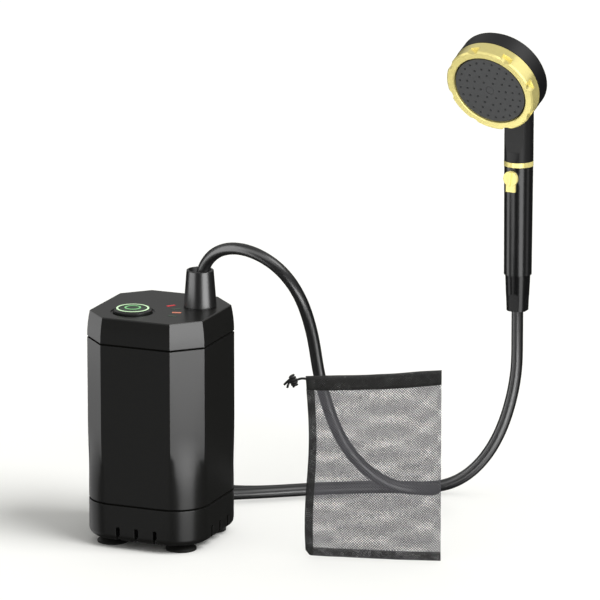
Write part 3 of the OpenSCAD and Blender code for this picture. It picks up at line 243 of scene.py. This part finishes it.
def angle(name, text, degrees):
    """An angle property."""
    return bpy.props.FloatProperty(
        name=name, description=text, default=math.radians(degrees), subtype="ANGLE"
    )


def amount(name, text, value, low, high):
    """A plain number property."""
    return bpy.props.FloatProperty(name=name, description=text, default=value, min=low, max=high)


class PumpSizes(bpy.types.PropertyGroup):
    """Sizes of the soft pieces and of the joints in the casing."""

    hose_d: length("Hose diameter", "Outside diameter of the hose", 0.0095, 0.006, 0.02)
    bag_w: length("Bag width", "Width of the bag between its seams", 0.1044, 0.05, 0.3)
    bag_left: length("Bag height left", "Height of the bag at its left seam", 0.1459, 0.05, 0.4)
    bag_right: length("Bag height right", "Height of the bag at its right fold", 0.1531, 0.05, 0.4)
    bag_full: length("Bag fullness", "Half the distance between the two layers", 0.0016, 0.0002, 0.01)
    wrinkle: length("Wrinkle depth", "Depth of the creases in the cloth", 0.0009, 0.0, 0.01)
    top_hem: length("Top hem", "Height of the drawstring hem", 0.0108, 0.002, 0.03)
    side_hem: length("Side hem", "Width of the seam at the left", 0.006, 0.001, 0.02)
    foot_hem: length("Bottom hem", "Height of the seam at the bottom", 0.0066, 0.001, 0.02)
    cord_d: length("Drawstring diameter", "Diameter of the drawstring", 0.0018, 0.0005, 0.006)
    mesh_pitch: length("Mesh pitch", "Distance between the holes of the net", 0.0015, 0.0005, 0.01)
    seam: length("Seam reach", "How far the casing looks dull above and below a joint", 0.0008, 0.0, 0.005)


class PumpColours(bpy.types.PropertyGroup):
    """Colours of the pieces."""

    casing: colour("Casing", "Satin black plastic of the casing", (0.006, 0.006, 0.0055))
    cone: colour("Cone", "Glossy black of the outlet cone", (0.006, 0.006, 0.006))
    rubber: colour("Rubber", "Suction feet, button seal and charging flap", (0.012, 0.012, 0.011))
    button_rim: colour("Button rim", "Black rim of the power button", (0.006, 0.007, 0.006))
    button: colour("Button", "Dark green middle of the power button", (0.004, 0.024, 0.007))
    ring_out: colour("Outer ring", "Lit outer ring of the power button", (0.55, 0.78, 0.48))
    ring_in: colour("Inner ring", "Lit inner ring of the power button", (0.17, 0.44, 0.18))
    lamp_red: colour("Red lamp", "Lit red indicator", (0.55, 0.02, 0.03))
    lamp_orange: colour("Orange lamp", "Lit orange indicator", (0.62, 0.2, 0.12))
    lamp_off: colour("Dim lamp", "Indicators that are not lit", (0.03, 0.06, 0.035))
    hose: colour("Hose", "Glossy black hose", (0.006, 0.006, 0.0063))
    handset: colour("Handset", "Black of handle, collar and head", (0.004, 0.004, 0.0044))
    gold: colour("Gold", "Gold trim of the handset", (0.95, 0.82, 0.31))
    plate: colour("Nozzle plate", "Slate grey of the nozzle plate", (0.1, 0.102, 0.106))
    nozzle: colour("Nozzles", "Dark rubber nozzles", (0.05, 0.051, 0.053))
    net: colour("Net", "Threads of the mesh bag", (0.094, 0.092, 0.103))
    hem: colour("Hem", "Hems of the mesh bag", (0.014, 0.014, 0.013))
    cord: colour("Drawstring", "Drawstring and knot", (0.008, 0.008, 0.008))
    inner: colour("Inner plastic", "Plastic inside the casing", (0.04, 0.04, 0.042))
    ivory: colour("Light plastic", "Light plastic inside", (0.65, 0.65, 0.62))
    seal: colour("Seals", "Gaskets and seals", (0.22, 0.05, 0.04))
    steel: colour("Steel", "Screws, spring, pin and motor can", (0.56, 0.57, 0.58))
    magnet: colour("Magnets", "Magnets of the motor", (0.12, 0.12, 0.13))
    brass: colour("Brass", "Bearings, hose tail and spindle", (0.62, 0.46, 0.2))
    copper: colour("Copper", "Winding of the rotor", (0.6, 0.26, 0.12))
    lead_red: colour("Motor leads", "Leads of the motor", (0.4, 0.03, 0.025))
    lead_blue: colour("Charging leads", "Leads of the charging socket", (0.03, 0.04, 0.3))
    cell: colour("Cells", "Sleeves of the battery cells", (0.03, 0.22, 0.12))
    board: colour("Board", "Control board", (0.015, 0.16, 0.06))
    floor: colour("Floor", "White floor", (0.93, 0.93, 0.905))


class PumpStage(bpy.types.PropertyGroup):
    """Camera and light."""

    azimuth: angle("Camera azimuth", "Turn of the camera about the vertical", 22.5)
    elevation: angle("Camera elevation", "Height of the camera above the horizon", 14.2)
    distance: length("Camera distance", "Distance from the camera to the picture's centre", 4.8, 0.5, 10.0)
    aim_right: length("Aim right", "Picture's centre to the right of the pump", 0.10904, -1.0, 1.0)
    aim_up: length("Aim up", "Picture's centre above the foot of the pump", 0.18556, -1.0, 1.0)
    lens: amount("Lens", "Focal length in millimetres", 364.6, 20.0, 800.0)
    ambient: amount("Ambient", "Even light from all round", 0.54, 0.0, 4.0)
    key: amount("Key light", "Strength of the soft light from the right", 2.6, 0.0, 10.0)


def smooth_route(points, steps):
    """Points along a uniform cubic B-spline that starts at the first control point and ends at the last."""
    p = [Vector(q) for q in points]
    p = [2 * p[0] - p[1], *p, 2 * p[-1] - p[-2]]
    out = []
    for i in range(len(p) - 3):
        a, b, c, d = p[i:i + 4]
        for k in range(steps):
            f = k / steps
            near_b = 3 * f ** 3 - 6 * f ** 2 + 4
            near_c = -3 * f ** 3 + 3 * f ** 2 + 3 * f + 1
            out.append(((1 - f) ** 3 * a + near_b * b + near_c * c + f ** 3 * d) / 6)
    out.append(p[-2])
    return out


def add_object(name, data):
    """A new object in the scene."""
    made = bpy.data.objects.new(name, data)
    bpy.context.scene.collection.objects.link(made)
    return made


def tube(name, lines, radius, sides):
    """A curve with a round section along each line of points."""
    data = bpy.data.curves.new(name, "CURVE")
    data.dimensions = "3D"
    data.bevel_depth = radius
    data.bevel_resolution = sides
    data.use_fill_caps = True
    for line in lines:
        spline = data.splines.new("POLY")
        spline.points.add(len(line) - 1)
        for point, at in zip(spline.points, line):
            point.co = (*at, 1.0)
        spline.use_smooth = True
    return add_object(name, data)


def solid(name, points, faces, uv=None):
    """A mesh object from points and faces, with an optional UV pair for each point."""
    data = bpy.data.meshes.new(name)
    data.from_pydata([tuple(p) for p in points], [], faces)
    data.shade_smooth()
    if uv:
        layer = data.uv_layers.new(name=CLOTH_UV)
        for loop in data.loops:
            layer.data[loop.index].uv = uv[loop.vertex_index]
    return add_object(name, data)


def plug(tree, socket, value):
    """Puts a constant on a socket, or links another node's output to it."""
    if isinstance(value, bpy.types.NodeSocket):
        tree.links.new(value, socket)
    else:
        socket.default_value = value


def add_node(tree, kind, inputs=None, **settings):
    """A new node with its settings, and a constant or another node's output on some of its sockets."""
    node = tree.nodes.new(kind)
    for key, value in settings.items():
        setattr(node, key, value)
    for key, value in (inputs or {}).items():
        plug(tree, node.inputs[key], value)
    return node


def remap(tree, value, source, target, **settings):
    """The output of a node that maps a value from one range to another."""
    inputs = {
        "Value": value, "From Min": source[0], "From Max": source[1], "To Min": target[0], "To Max": target[1]
    }
    return add_node(tree, "ShaderNodeMapRange", inputs, **settings).outputs[0]


def reckon(tree, operation, *values, **settings):
    """The output of a node that works out a number from others."""
    return add_node(
        tree, "ShaderNodeMath", dict(enumerate(values)), operation=operation, **settings
    ).outputs[0]


def material(
    name, rgb, rough, metal=0.0, grain=900.0, bump=0.05, mottle=0.15, edge=0.0, coat=0.0, gloss=PLAIN_GLOSS
):
    """A plastic, rubber or metal with fine grain in its colour, its roughness and its surface."""
    mat = bpy.data.materials.new(name)
    mat.use_nodes = True
    tree = mat.node_tree
    place = add_node(tree, "ShaderNodeTexCoord").outputs["Object"]
    grainy = add_node(
        tree, "ShaderNodeTexNoise", {"Vector": place, "Scale": grain, "Detail": 4.0, "Roughness": 0.6}
    ).outputs[0]
    dark = (*[c * (1 - mottle) for c in rgb], 1.0)
    light = (*[min(1.0, c * (1 + mottle)) for c in rgb], 1.0)
    # Sockets 6 and 7 of a colour mix are its two colours, and 2 is the mix
    tint = add_node(tree, "ShaderNodeMix", {0: grainy, 6: dark, 7: light}, data_type="RGBA").outputs[2]
    spread = (max(0.02, rough - ROUGH_SPREAD), min(1.0, rough + ROUGH_SPREAD))
    polish = remap(tree, grainy, (0.0, 1.0), spread)
    relief = add_node(tree, "ShaderNodeBump", {"Height": grainy, "Strength": bump, "Distance": GRAIN_DEPTH})
    if edge:
        rounding = add_node(tree, "ShaderNodeBevel", {"Radius": edge}, samples=4).outputs[0]
        plug(tree, relief.inputs["Normal"], rounding)
    finish = {
        "Base Color": tint, "Roughness": polish, "Normal": relief.outputs[0], "Metallic": metal,
        "Coat Weight": coat, "Coat Roughness": COAT_ROUGH, "Specular IOR Level": gloss,
    }
    for key, value in finish.items():
        plug(tree, tree.nodes["Principled BSDF"].inputs[key], value)
    return mat


def glowing(name, rgb, strength):
    """A lit plastic that shines by itself."""
    mat = material(name, rgb, rough=0.35)
    shader = mat.node_tree.nodes["Principled BSDF"]
    shader.inputs["Emission Color"].default_value = (*rgb, 1.0)
    shader.inputs["Emission Strength"].default_value = strength
    return mat


def dull_seams(mat, heights, reach):
    """Takes the gloss off a material near some heights, where pieces meet in a dark joint."""
    tree = mat.node_tree
    place = add_node(tree, "ShaderNodeTexCoord").outputs["Object"]
    height = add_node(tree, "ShaderNodeSeparateXYZ", {0: place}).outputs["Z"]
    socket = tree.nodes["Principled BSDF"].inputs["Specular IOR Level"]
    gloss = socket.default_value
    for seam in heights:
        near = reckon(tree, "COMPARE", height, seam, reach)
        gloss = reckon(tree, "SUBTRACT", gloss, near, use_clamp=True)
    plug(tree, socket, gloss)


def net_material(name, rgb, pitch, cover, dense):
    """A knitted net: threads round small holes, clear between them, and dense where it lies in folds."""
    mat = material(name, rgb, rough=0.75, grain=2600.0, bump=0.2, mottle=0.35)
    tree = mat.node_tree
    cloth = add_node(tree, "ShaderNodeUVMap", uv_map=CLOTH_UV).outputs[0]
    rows = add_node(tree, "ShaderNodeMapping", {"Vector": cloth, "Rotation": (0.0, 0.0, NET_TURN)}).outputs[0]
    holes = add_node(
        tree, "ShaderNodeTexVoronoi", {"Vector": rows, "Scale": 1.0 / pitch, "Randomness": NET_UNEVEN},
        feature="DISTANCE_TO_EDGE", voronoi_dimensions="2D",
    ).outputs["Distance"]
    patch = add_node(
        tree, "ShaderNodeTexNoise", {"Vector": cloth, "Scale": PATCHES, "Detail": 5.0, "Distortion": 0.6}
    ).outputs[0]
    width = remap(tree, patch, THREAD_NOISE, [cover * share for share in THREAD_SHARES])
    thread = reckon(tree, "LESS_THAN", holes, width)
    fold = remap(tree, patch, FOLD_NOISE, (max(0.0, 2 * dense - 1), min(1.0, 2 * dense)))
    veil = reckon(tree, "MAXIMUM", thread, fold)
    clear = add_node(tree, "ShaderNodeBsdfTransparent").outputs[0]
    yarn = tree.nodes["Principled BSDF"].outputs[0]
    mixed = add_node(tree, "ShaderNodeMixShader", {0: veil, 1: clear, 2: yarn}).outputs[0]
    plug(tree, tree.nodes["Material Output"].inputs["Surface"], mixed)
    return mat


def soft_shading():
    """Geometry nodes that shade a CAD mesh smooth except at its sharp edges."""
    group = bpy.data.node_groups.get("Soft Shading")
    if group:
        return group
    group = bpy.data.node_groups.new("Soft Shading", "GeometryNodeTree")
    for way in ("INPUT", "OUTPUT"):
        group.interface.new_socket("Geometry", in_out=way, socket_type="NodeSocketGeometry")
    mesh = add_node(group, "NodeGroupInput").outputs[0]
    mesh = add_node(group, "GeometryNodeMergeByDistance", {0: mesh, "Distance": WELD}).outputs[0]
    mesh = add_node(group, "GeometryNodeSetShadeSmooth", {0: mesh}).outputs[0]
    bend = add_node(group, "GeometryNodeInputMeshEdgeAngle").outputs[0]
    sharp = add_node(group, "FunctionNodeCompare", {0: bend, 1: SHARP}, operation="GREATER_THAN").outputs[0]
    creases = {0: mesh, "Selection": sharp, "Shade Smooth": False}
    mesh = add_node(group, "GeometryNodeSetShadeSmooth", creases, domain="EDGE").outputs[0]
    add_node(group, "NodeGroupOutput", {0: mesh})
    return group


def dress(names, *mats):
    """Gives CAD nodes their materials and soft shading."""
    for name in names:
        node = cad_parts[name]
        node.data.materials.clear()
        for mat in mats:
            node.data.materials.append(mat)
        node.modifiers.new("Soft Shading", "NODES").node_group = soft_shading()


def camera_axes(stage):
    """Forward, right and up of the camera."""
    a, e = stage.azimuth, stage.elevation
    ahead = Vector((-math.sin(a), math.cos(a), 0))
    forward = ahead * math.cos(e) - Vector((0, 0, math.sin(e)))
    right = Vector((math.cos(a), math.sin(a), 0))
    return forward, right, ahead * math.sin(e) + Vector((0, 0, math.cos(e)))


class PUMP_OT_camera(bpy.types.Operator):
    """Puts the camera where the photograph was taken from"""

    bl_idname = "pump.camera"
    bl_label = "Camera"

    def execute(self, context):
        stage = context.scene.pump_stage
        forward, right, up = camera_axes(stage)
        data = bpy.data.cameras.new("camera")
        data.lens = stage.lens
        data.sensor_width = SENSOR
        data.clip_end = SIGHT
        made = add_object("camera", data)
        made.location = right * stage.aim_right + up * stage.aim_up - forward * stage.distance
        made.rotation_mode = "QUATERNION"
        made.rotation_quaternion = forward.to_track_quat("-Z", "Y")
        context.scene.camera = made
        return {"FINISHED"}


class PUMP_OT_hose(bpy.types.Operator):
    """Lays the hose from the outlet cone to the handset"""

    bl_idname = "pump.hose"
    bl_label = "Hose"

    def execute(self, context):
        sizes, shades = context.scene.pump_sizes, context.scene.pump_colours
        radius = sizes.hose_d / 2
        route = [
            Vector((x, y, z)) * MM if z else Vector((x * MM, y * MM, radius)) for x, y, z in HOSE_ROUTE
        ]
        line = smooth_route(route, HOSE_STEPS)
        hose = tube("hose", [line], radius, HOSE_SIDES)
        hose.data.materials.append(material("hose_rubber", shades.hose, rough=0.33, grain=700.0, bump=0.06))
        hose.visible_shadow = False
        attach(hose, "pump")
        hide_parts("shower_hose")
        return {"FINISHED"}


def bag_matrix():
    """Places the bag's own plane in the shared frame."""
    return Matrix.Translation(BAG_AT) @ Matrix.Rotation(BAG_TURN, 4, "Z")


def bag_sag(u):
    """How far the bag's top hangs through, at a place across from -1 to 1."""
    return BAG_SAG * math.cos(SAG_TURN * u)


def knot_barrel():
    """The string wound round the knot's axis, wider in the middle."""
    along = KNOT_AXIS * MM
    across = Vector((-KNOT_AXIS.z, 0, KNOT_AXIS.x)).normalized()
    barrel = []
    for k in range(KNOT_STEPS + 1):
        f, turn = k / KNOT_STEPS, 2 * math.pi * KNOT_WINDINGS * k / KNOT_STEPS
        wide = (KNOT_RADIUS + KNOT_BELLY * math.sin(math.pi * f)) * MM
        spoke = across * math.cos(turn) + Vector((0, math.sin(turn), 0))
        barrel.append(KNOT_AT + along * (f - 0.5) + spoke * wide)
    return barrel


class PUMP_OT_drawstring(bpy.types.Operator):
    """Threads the drawstring through the hem and knots it"""

    bl_idname = "pump.drawstring"
    bl_label = "Drawstring"

    def execute(self, context):
        sizes, shades = context.scene.pump_sizes, context.scene.pump_colours
        place = bag_matrix()
        half = sizes.bag_w / 2
        low, high = sizes.bag_left - STRING_DROP, sizes.bag_right - STRING_DROP
        route = [
            Vector((half * u, 0, low + (high - low) * (u + 1) / 2 - bag_sag(u))) for u in STRING_PLACES
        ]
        route += [KNOT_AT + Vector(p) * MM for p in STRING_END]
        line = [place @ p for p in smooth_route(route, STRING_STEPS)]
        tails = [
            smooth_route([KNOT_AT + Vector(p) * MM for p in way], TAIL_STEPS) for way in KNOT_TAILS
        ]
        windings = [[place @ p for p in way] for way in (knot_barrel(), *tails)]
        cord = tube("drawstring_cord", [line], sizes.cord_d / 2, STRING_SIDES)
        knot = tube("knot", windings, sizes.cord_d / 2, STRING_SIDES)
        braid = material("drawstring_braid", shades.cord, rough=0.7, grain=3000.0, bump=0.5, mottle=0.3)
        for piece, node in ((cord, "drawstring"), (knot, "drawstring_knot")):
            piece.data.materials.append(braid)
            piece.visible_shadow = False
            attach(piece, "bag")
            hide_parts(node)
        return {"FINISHED"}


class PUMP_OT_casing(bpy.types.Operator):
    """Dresses the casing, its feet and the charging flap"""

    bl_idname = "pump.casing"
    bl_label = "Casing"

    def execute(self, context):
        sizes, shades = context.scene.pump_sizes, context.scene.pump_colours
        satin = material(
            "casing_satin", shades.casing, rough=0.3, grain=2400.0, bump=0.035, mottle=0.1, edge=0.0007
        )
        dull_seams(satin, [corner.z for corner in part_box("body_shell")], sizes.seam)
        dress(CASING_NODES, satin)
        rubber = material("foot_rubber", shades.rubber, rough=0.5, bump=0.08)
        dress(("suction_feet", "button_seal", "charge_flap"), rubber)
        return {"FINISHED"}


class PUMP_OT_top(bpy.types.Operator):
    """Dresses the button, the lamps and the outlet cone"""

    bl_idname = "pump.top"
    bl_label = "Top fittings"

    def execute(self, context):
        shades = context.scene.pump_colours
        dress(("outlet_cone",), material("cone_gloss", shades.cone, rough=0.31, bump=0.03, edge=0.0005))
        dress(
            ("power_button",),
            material("button_rim", shades.button_rim, rough=0.3, bump=0.03, edge=0.0004),
            material("button_dome", shades.button, rough=0.25, bump=0.03, edge=0.0004),
        )
        dress(
            ("button_light_rings",),
            glowing("ring_out", shades.ring_out, strength=0.5),
            glowing("ring_in", shades.ring_in, strength=0.5),
        )
        dress(
            ("indicator_lenses",),
            material("lamp_off", shades.lamp_off, rough=0.35, bump=0.03),
            glowing("lamp_red", shades.lamp_red, strength=0.5),
            glowing("lamp_orange", shades.lamp_orange, strength=0.3),
        )
        low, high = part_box("power_button")
        centre = (low + high) / 2

        def reach(face):
            """How far a face lies from the button's axis."""
            return (face.center - centre).to_2d().length

        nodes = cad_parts
        rings = nodes["button_light_rings"].data.polygons
        span = max(reach(face) for face in rings)
        for face in rings:
            face.material_index = int(reach(face) < span * INNER_RING)
        for face in nodes["power_button"].data.polygons:
            face.material_index = int(reach(face) < span)
        for face in nodes["indicator_lenses"].data.polygons:
            away = face.center - centre
            turn = math.degrees(math.atan2(away.y, away.x))
            face.material_index = 1 if turn > RED_FROM else 2 if ORANGE_FROM < turn < ORANGE_TO else 0
        return {"FINISHED"}


class PUMP_OT_inside(bpy.types.Operator):
    """Dresses the pieces inside the casing and the handset"""

    bl_idname = "pump.inside"
    bl_label = "Inner pieces"

    def execute(self, context):
        shades = context.scene.pump_colours
        for tone, rough, metal, names in INNER_LOOKS:
            dress(names, material(f"{tone}_{round(rough * 100)}", getattr(shades, tone), rough, metal))
        return {"FINISHED"}


class PUMP_OT_handset(bpy.types.Operator):
    """Dresses the shower handset and its gold trim"""

    bl_idname = "pump.handset"
    bl_label = "Handset"

    def execute(self, context):
        shades = context.scene.pump_colours
        satin = material(
            "head_satin", shades.handset, rough=0.45, grain=1600.0, bump=0.03, edge=0.0004, gloss=0.32
        )
        polished = material(
            "handset_gloss", shades.handset, rough=0.26, grain=1600.0, bump=0.03, edge=0.0004, coat=0.15
        )
        gold = material(
            "gold_trim", shades.gold, rough=0.2, metal=0.45, grain=500.0, bump=0.03, mottle=0.08, edge=0.0005
        )
        dress(("head_shell",), satin)
        dress(("swivel_collar", "handle_tube"), polished)
        dress(GOLD_NODES, gold)
        dress(("nozzle_plate",), material("plate_slate", shades.plate, rough=0.42, grain=1200.0, bump=0.08))
        dress(("nozzle_mat",), material("nozzle_rubber", shades.nozzle, rough=0.6))
        return {"FINISHED"}


def bag_point(sizes, u, w, side, out=0.0):
    """A point of the cloth: u across from -1 to 1, w up from 0 to 1, side -1 in front and 1 behind."""
    top = sizes.bag_left + (sizes.bag_right - sizes.bag_left) * (u + 1) / 2
    top -= bag_sag(u)
    foot = FOOT_RISE * max(0.0, FOOT_FLAT - u) + CORNER_RISE * max(0.0, -u - CORNER_FROM) / CORNER_WIDE
    x = u * sizes.bag_w / 2
    x += EDGE_WAVE * math.sin(2 * math.pi * (w - EDGE_SHIFT)) * ((1 - u) / 2) ** 2
    full = sizes.bag_full * (1 - abs(u) ** 6) * (1 - (1 - w) ** 8) + LAYER_GAP
    # The third place in the noise gives each layer creases of its own
    crease = noise.noise(Vector((u * WIDE_CREASES[0], w * WIDE_CREASES[1], 3.0 * side)))
    fine = Vector((u * FINE_CREASES[0] + FINE_SLANT * w, w * FINE_CREASES[1], 9.0 + side))
    crease += FINE_SHARE * noise.noise(fine)
    y = side * (full + out) + sizes.wrinkle * crease * (1 - abs(u) ** 8)
    return bag_matrix() @ Vector((x, y, foot + (top - foot) * w))


def bag_net(sizes, across, rows):
    """Points, faces and UV pairs of the cloth, which runs once round the bag and is open at top and foot."""
    ring = [(k / across * 2 - 1, -1) for k in range(across + 1)]
    ring += [(1 - k / across * 2, 1) for k in range(1, across)]
    points, faces, uv = [], [], []
    for j in range(rows + 1):
        for u, side in ring:
            points.append(bag_point(sizes, u, j / rows, side))
            run = (u + 1) / 2 if side < 0 else 1 + (1 - u) / 2
            lean = BACK_LEAN * max(0.0, run - 1) * sizes.bag_w
            uv.append((run * sizes.bag_w, j / rows * sizes.bag_right + lean))
    n = len(ring)
    for j in range(rows):
        for i in range(n):
            k = (i + 1) % n
            faces.append((j * n + i, j * n + k, (j + 1) * n + k, (j + 1) * n + i))
    return points, faces, uv


def bag_hem(sizes, u_ends, w_ends, wide, high, out):
    """Points, faces and UV pairs of a flat closed strip of hem round both layers."""
    points, faces, uv = [], [], []
    for side in (-1, 1):
        for j in range(high + 1):
            for i in range(wide + 1):
                u = u_ends[0] + (u_ends[1] - u_ends[0]) * i / wide
                w = w_ends[0] + (w_ends[1] - w_ends[0]) * j / high
                points.append(bag_point(sizes, u, w, side, out))
                uv.append((u * sizes.bag_w / 2 + side * HEM_APART, w * sizes.bag_right))
    step, half = wide + 1, (wide + 1) * (high + 1)
    for j in range(high):
        for i in range(wide):
            a, d = j * step + i, (j + 1) * step + i
            faces += [(a, a + 1, d + 1, d), (half + d, half + d + 1, half + a + 1, half + a)]
    rim = [*range(step), *[j * step + wide for j in range(1, high + 1)]]
    rim += [high * step + i for i in range(wide - 1, -1, -1)]
    rim += [j * step for j in range(high - 1, 0, -1)]
    for a, b in zip(rim, rim[1:] + rim[:1]):
        faces.append((b, a, half + a, half + b))
    return points, faces, uv


class PUMP_OT_bag(bpy.types.Operator):
    """Makes the mesh bag with its hems"""

    bl_idname = "pump.bag"
    bl_label = "Mesh bag"

    def execute(self, context):
        sizes, shades = context.scene.pump_sizes, context.scene.pump_colours
        across, rows = CLOTH_ACROSS, CLOTH_ROWS
        tall = (sizes.bag_left + sizes.bag_right) / 2
        cloth = solid("bag_cloth", *bag_net(sizes, across, rows))
        cloth.data.materials.append(net_material("bag_net", shades.net, sizes.mesh_pitch, NET_COVER, 0.0))
        top_from, foot_to = 1 - sizes.top_hem / tall, sizes.foot_hem / tall
        side_to = -1 + 2 * sizes.side_hem / sizes.bag_w
        # Each hem: ends across and up, steps across and up, thickness, width of threads, share of folds
        plans = {
            "bag_top_hem": ((-1, 1), (top_from, 1.002), across, 4, 0.0007, 0.27, 0.55),
            "bag_side_hem": ((-1.004, side_to), (0.0, 0.93), 4, rows, 0.0004, 0.18, 0.45),
            "bag_foot_hem": ((-1, 1), (0.0, foot_to), across, 3, 0.0004, 0.15, 0.3),
        }
        hems = []
        for name, (*shape, cover, dense) in plans.items():
            hem = solid(name, *bag_hem(sizes, *shape))
            net = net_material(name, shades.hem, sizes.mesh_pitch * HEM_PITCH, cover, dense)
            hem.data.materials.append(net)
            hems.append(hem)
        for piece in (cloth, *hems):
            piece.visible_shadow = False
            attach(piece, "bag")
        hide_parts("mesh_bag")
        return {"FINISHED"}


def pieces_of(names):
    """The objects of CAD nodes, or of pieces made here, by their names."""
    return [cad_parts.get(name) or bpy.data.objects[name] for name in names]


def shine_on(light, names, state="INCLUDE"):
    """Lets a light shine only on some pieces, or on all but those."""
    group = bpy.data.collections.new(light.name)
    for piece in pieces_of(names):
        group.objects.link(piece)
    for entry in group.collection_objects:
        entry.light_linking.link_state = state
    light.light_linking.receiver_collection = group


def add_light(data, toward):
    """A light object that comes from a direction."""
    made = add_object(data.name, data)
    made.rotation_mode = "QUATERNION"
    made.rotation_quaternion = toward.normalized().to_track_quat("Z", "Y")
    return made


def softbox(name, names, azimuth, near, wide, low, high, bright):
    """A soft light that faces the pump and that some pieces mirror."""
    a = math.radians(azimuth)
    out = Vector((math.cos(a), math.sin(a), 0))
    data = bpy.data.lights.new(name, "AREA")
    data.shape = "RECTANGLE"
    data.size, data.size_y = wide, high - low
    # An area light shows a quarter of its watts to the square metre as brightness
    data.energy = 4 * bright * wide * (high - low)
    data.use_shadow = False
    made = add_light(data, out)
    made.location = out * near + Vector((0, 0, (low + high) / 2))
    made.visible_camera = False
    made.visible_diffuse = False
    made.visible_transmission = False
    shine_on(made, names)


def sun(name, toward, strength, degrees):
    """A distant light of some width that comes from a direction."""
    data = bpy.data.lights.new(name, "SUN")
    data.energy = strength
    data.angle = math.radians(degrees)
    return add_light(data, toward)


def lay_floor(shades):
    """The white floor, which no piece mirrors and which casts no shadow."""
    r = FLOOR_REACH
    floor = solid("floor", [(-r, -r, 0), (r, -r, 0), (r, r, 0), (-r, r, 0)], [(0, 1, 2, 3)])
    matte = material("floor_white", shades.floor, 0.9, grain=40.0, bump=0.0, mottle=0.005, gloss=0.0)
    floor.data.materials.append(matte)
    floor.visible_glossy = False
    floor.visible_shadow = False


def set_lights(stage):
    """The soft lights in the dark and gold pieces, the key light and the wide light on the gold."""
    for row in SOFTBOXES:
        softbox(*row)
    forward, right, _ = camera_axes(stage)
    ahead = Vector((forward.x, forward.y, 0)).normalized()
    key_from = right * KEY_RIGHT - ahead * KEY_BEHIND + Vector((0, 0, KEY_UP))
    shine_on(sun("key", key_from, stage.key, KEY_ANGLE), ("selector_ring",), "EXCLUDE")
    shine_on(sun("gold_fill", GOLD_FILL_FROM, GOLD_FILL, GOLD_FILL_ANGLE), GOLD_NODES)


def studio_world(stage):
    """Even light from all round, a darker sky in what the pieces mirror, and a pale backdrop."""
    world = bpy.data.worlds.new("studio")
    world.use_nodes = True
    tree = world.node_tree
    tree.nodes.clear()
    rays = add_node(tree, "ShaderNodeLightPath").outputs
    toward = add_node(tree, "ShaderNodeTexCoord").outputs["Generated"]
    height = add_node(tree, "ShaderNodeSeparateXYZ", {0: toward}).outputs["Z"]
    tone = remap(tree, height, MIRROR_HEIGHTS, MIRROR_TONES, interpolation_type="SMOOTHSTEP")

    def sky(tint, strength):
        """A background of one tint."""
        return add_node(tree, "ShaderNodeBackground", {"Color": tint, "Strength": strength}).outputs[0]

    def choose(ray, other, chosen):
        """One background for a kind of ray, and another for the rest."""
        return add_node(tree, "ShaderNodeMixShader", {0: rays[ray], 1: other, 2: chosen}).outputs[0]

    lit = choose("Is Glossy Ray", sky(SKY_TINT, stage.ambient), sky(SKY_TINT, tone))
    shown = choose("Is Camera Ray", lit, sky(BACKDROP_TINT, 1.0))
    add_node(tree, "ShaderNodeOutputWorld", {"Surface": shown})
    return world


class PUMP_OT_stage(bpy.types.Operator):
    """Sets the white floor, the lights and what the black plastic mirrors"""

    bl_idname = "pump.stage"
    bl_label = "Stage"

    def execute(self, context):
        scene = context.scene
        lay_floor(scene.pump_colours)
        set_lights(scene.pump_stage)
        scene.world = studio_world(scene.pump_stage)
        scene.view_settings.view_transform = "Standard"
        return {"FINISHED"}


class PUMP_PT_sidebar(bpy.types.Panel):
    """Sizes, colours and steps of the camp shower pump"""

    bl_idname = "PUMP_PT_sidebar"
    bl_label = "Camp Shower Pump"
    bl_space_type = "VIEW_3D"
    bl_region_type = "UI"
    bl_category = "Pump"

    def draw(self, context):
        for title, group in (
            ("Sizes", context.scene.pump_sizes), ("Colours", context.scene.pump_colours),
            ("Stage", context.scene.pump_stage),
        ):
            box = self.layout.box()
            box.label(text=title)
            for key in group.bl_rna.properties.keys():
                if key not in ("rna_type", "name"):
                    box.prop(group, key)
        for step in STEPS:
            self.layout.operator(step.bl_idname)


STEPS = (
    PUMP_OT_camera, PUMP_OT_hose, PUMP_OT_drawstring, PUMP_OT_casing, PUMP_OT_top, PUMP_OT_inside,
    PUMP_OT_handset, PUMP_OT_bag, PUMP_OT_stage,
)
GROUPS = {"pump_sizes": PumpSizes, "pump_colours": PumpColours, "pump_stage": PumpStage}


def register():
    """Makes the property groups, the steps and the sidebar known."""
    for kind in (*GROUPS.values(), *STEPS, PUMP_PT_sidebar):
        bpy.utils.register_class(kind)
    for key, kind in GROUPS.items():
        setattr(bpy.types.Scene, key, bpy.props.PointerProperty(type=kind))


def unregister():
    """Takes them away again."""
    for key in GROUPS:
        delattr(bpy.types.Scene, key)
    for kind in (PUMP_PT_sidebar, *reversed(STEPS), *reversed(tuple(GROUPS.values()))):
        bpy.utils.unregister_class(kind)


def main():
    """Runs every step in order."""
    register()
    bpy.ops.pump.camera()
    bpy.ops.pump.hose()
    bpy.ops.pump.drawstring()
    bpy.ops.pump.casing()
    bpy.ops.pump.top()
    bpy.ops.pump.inside()
    bpy.ops.pump.handset()
    bpy.ops.pump.bag()
    bpy.ops.pump.stage()


if __name__ == "__main__":
    main()
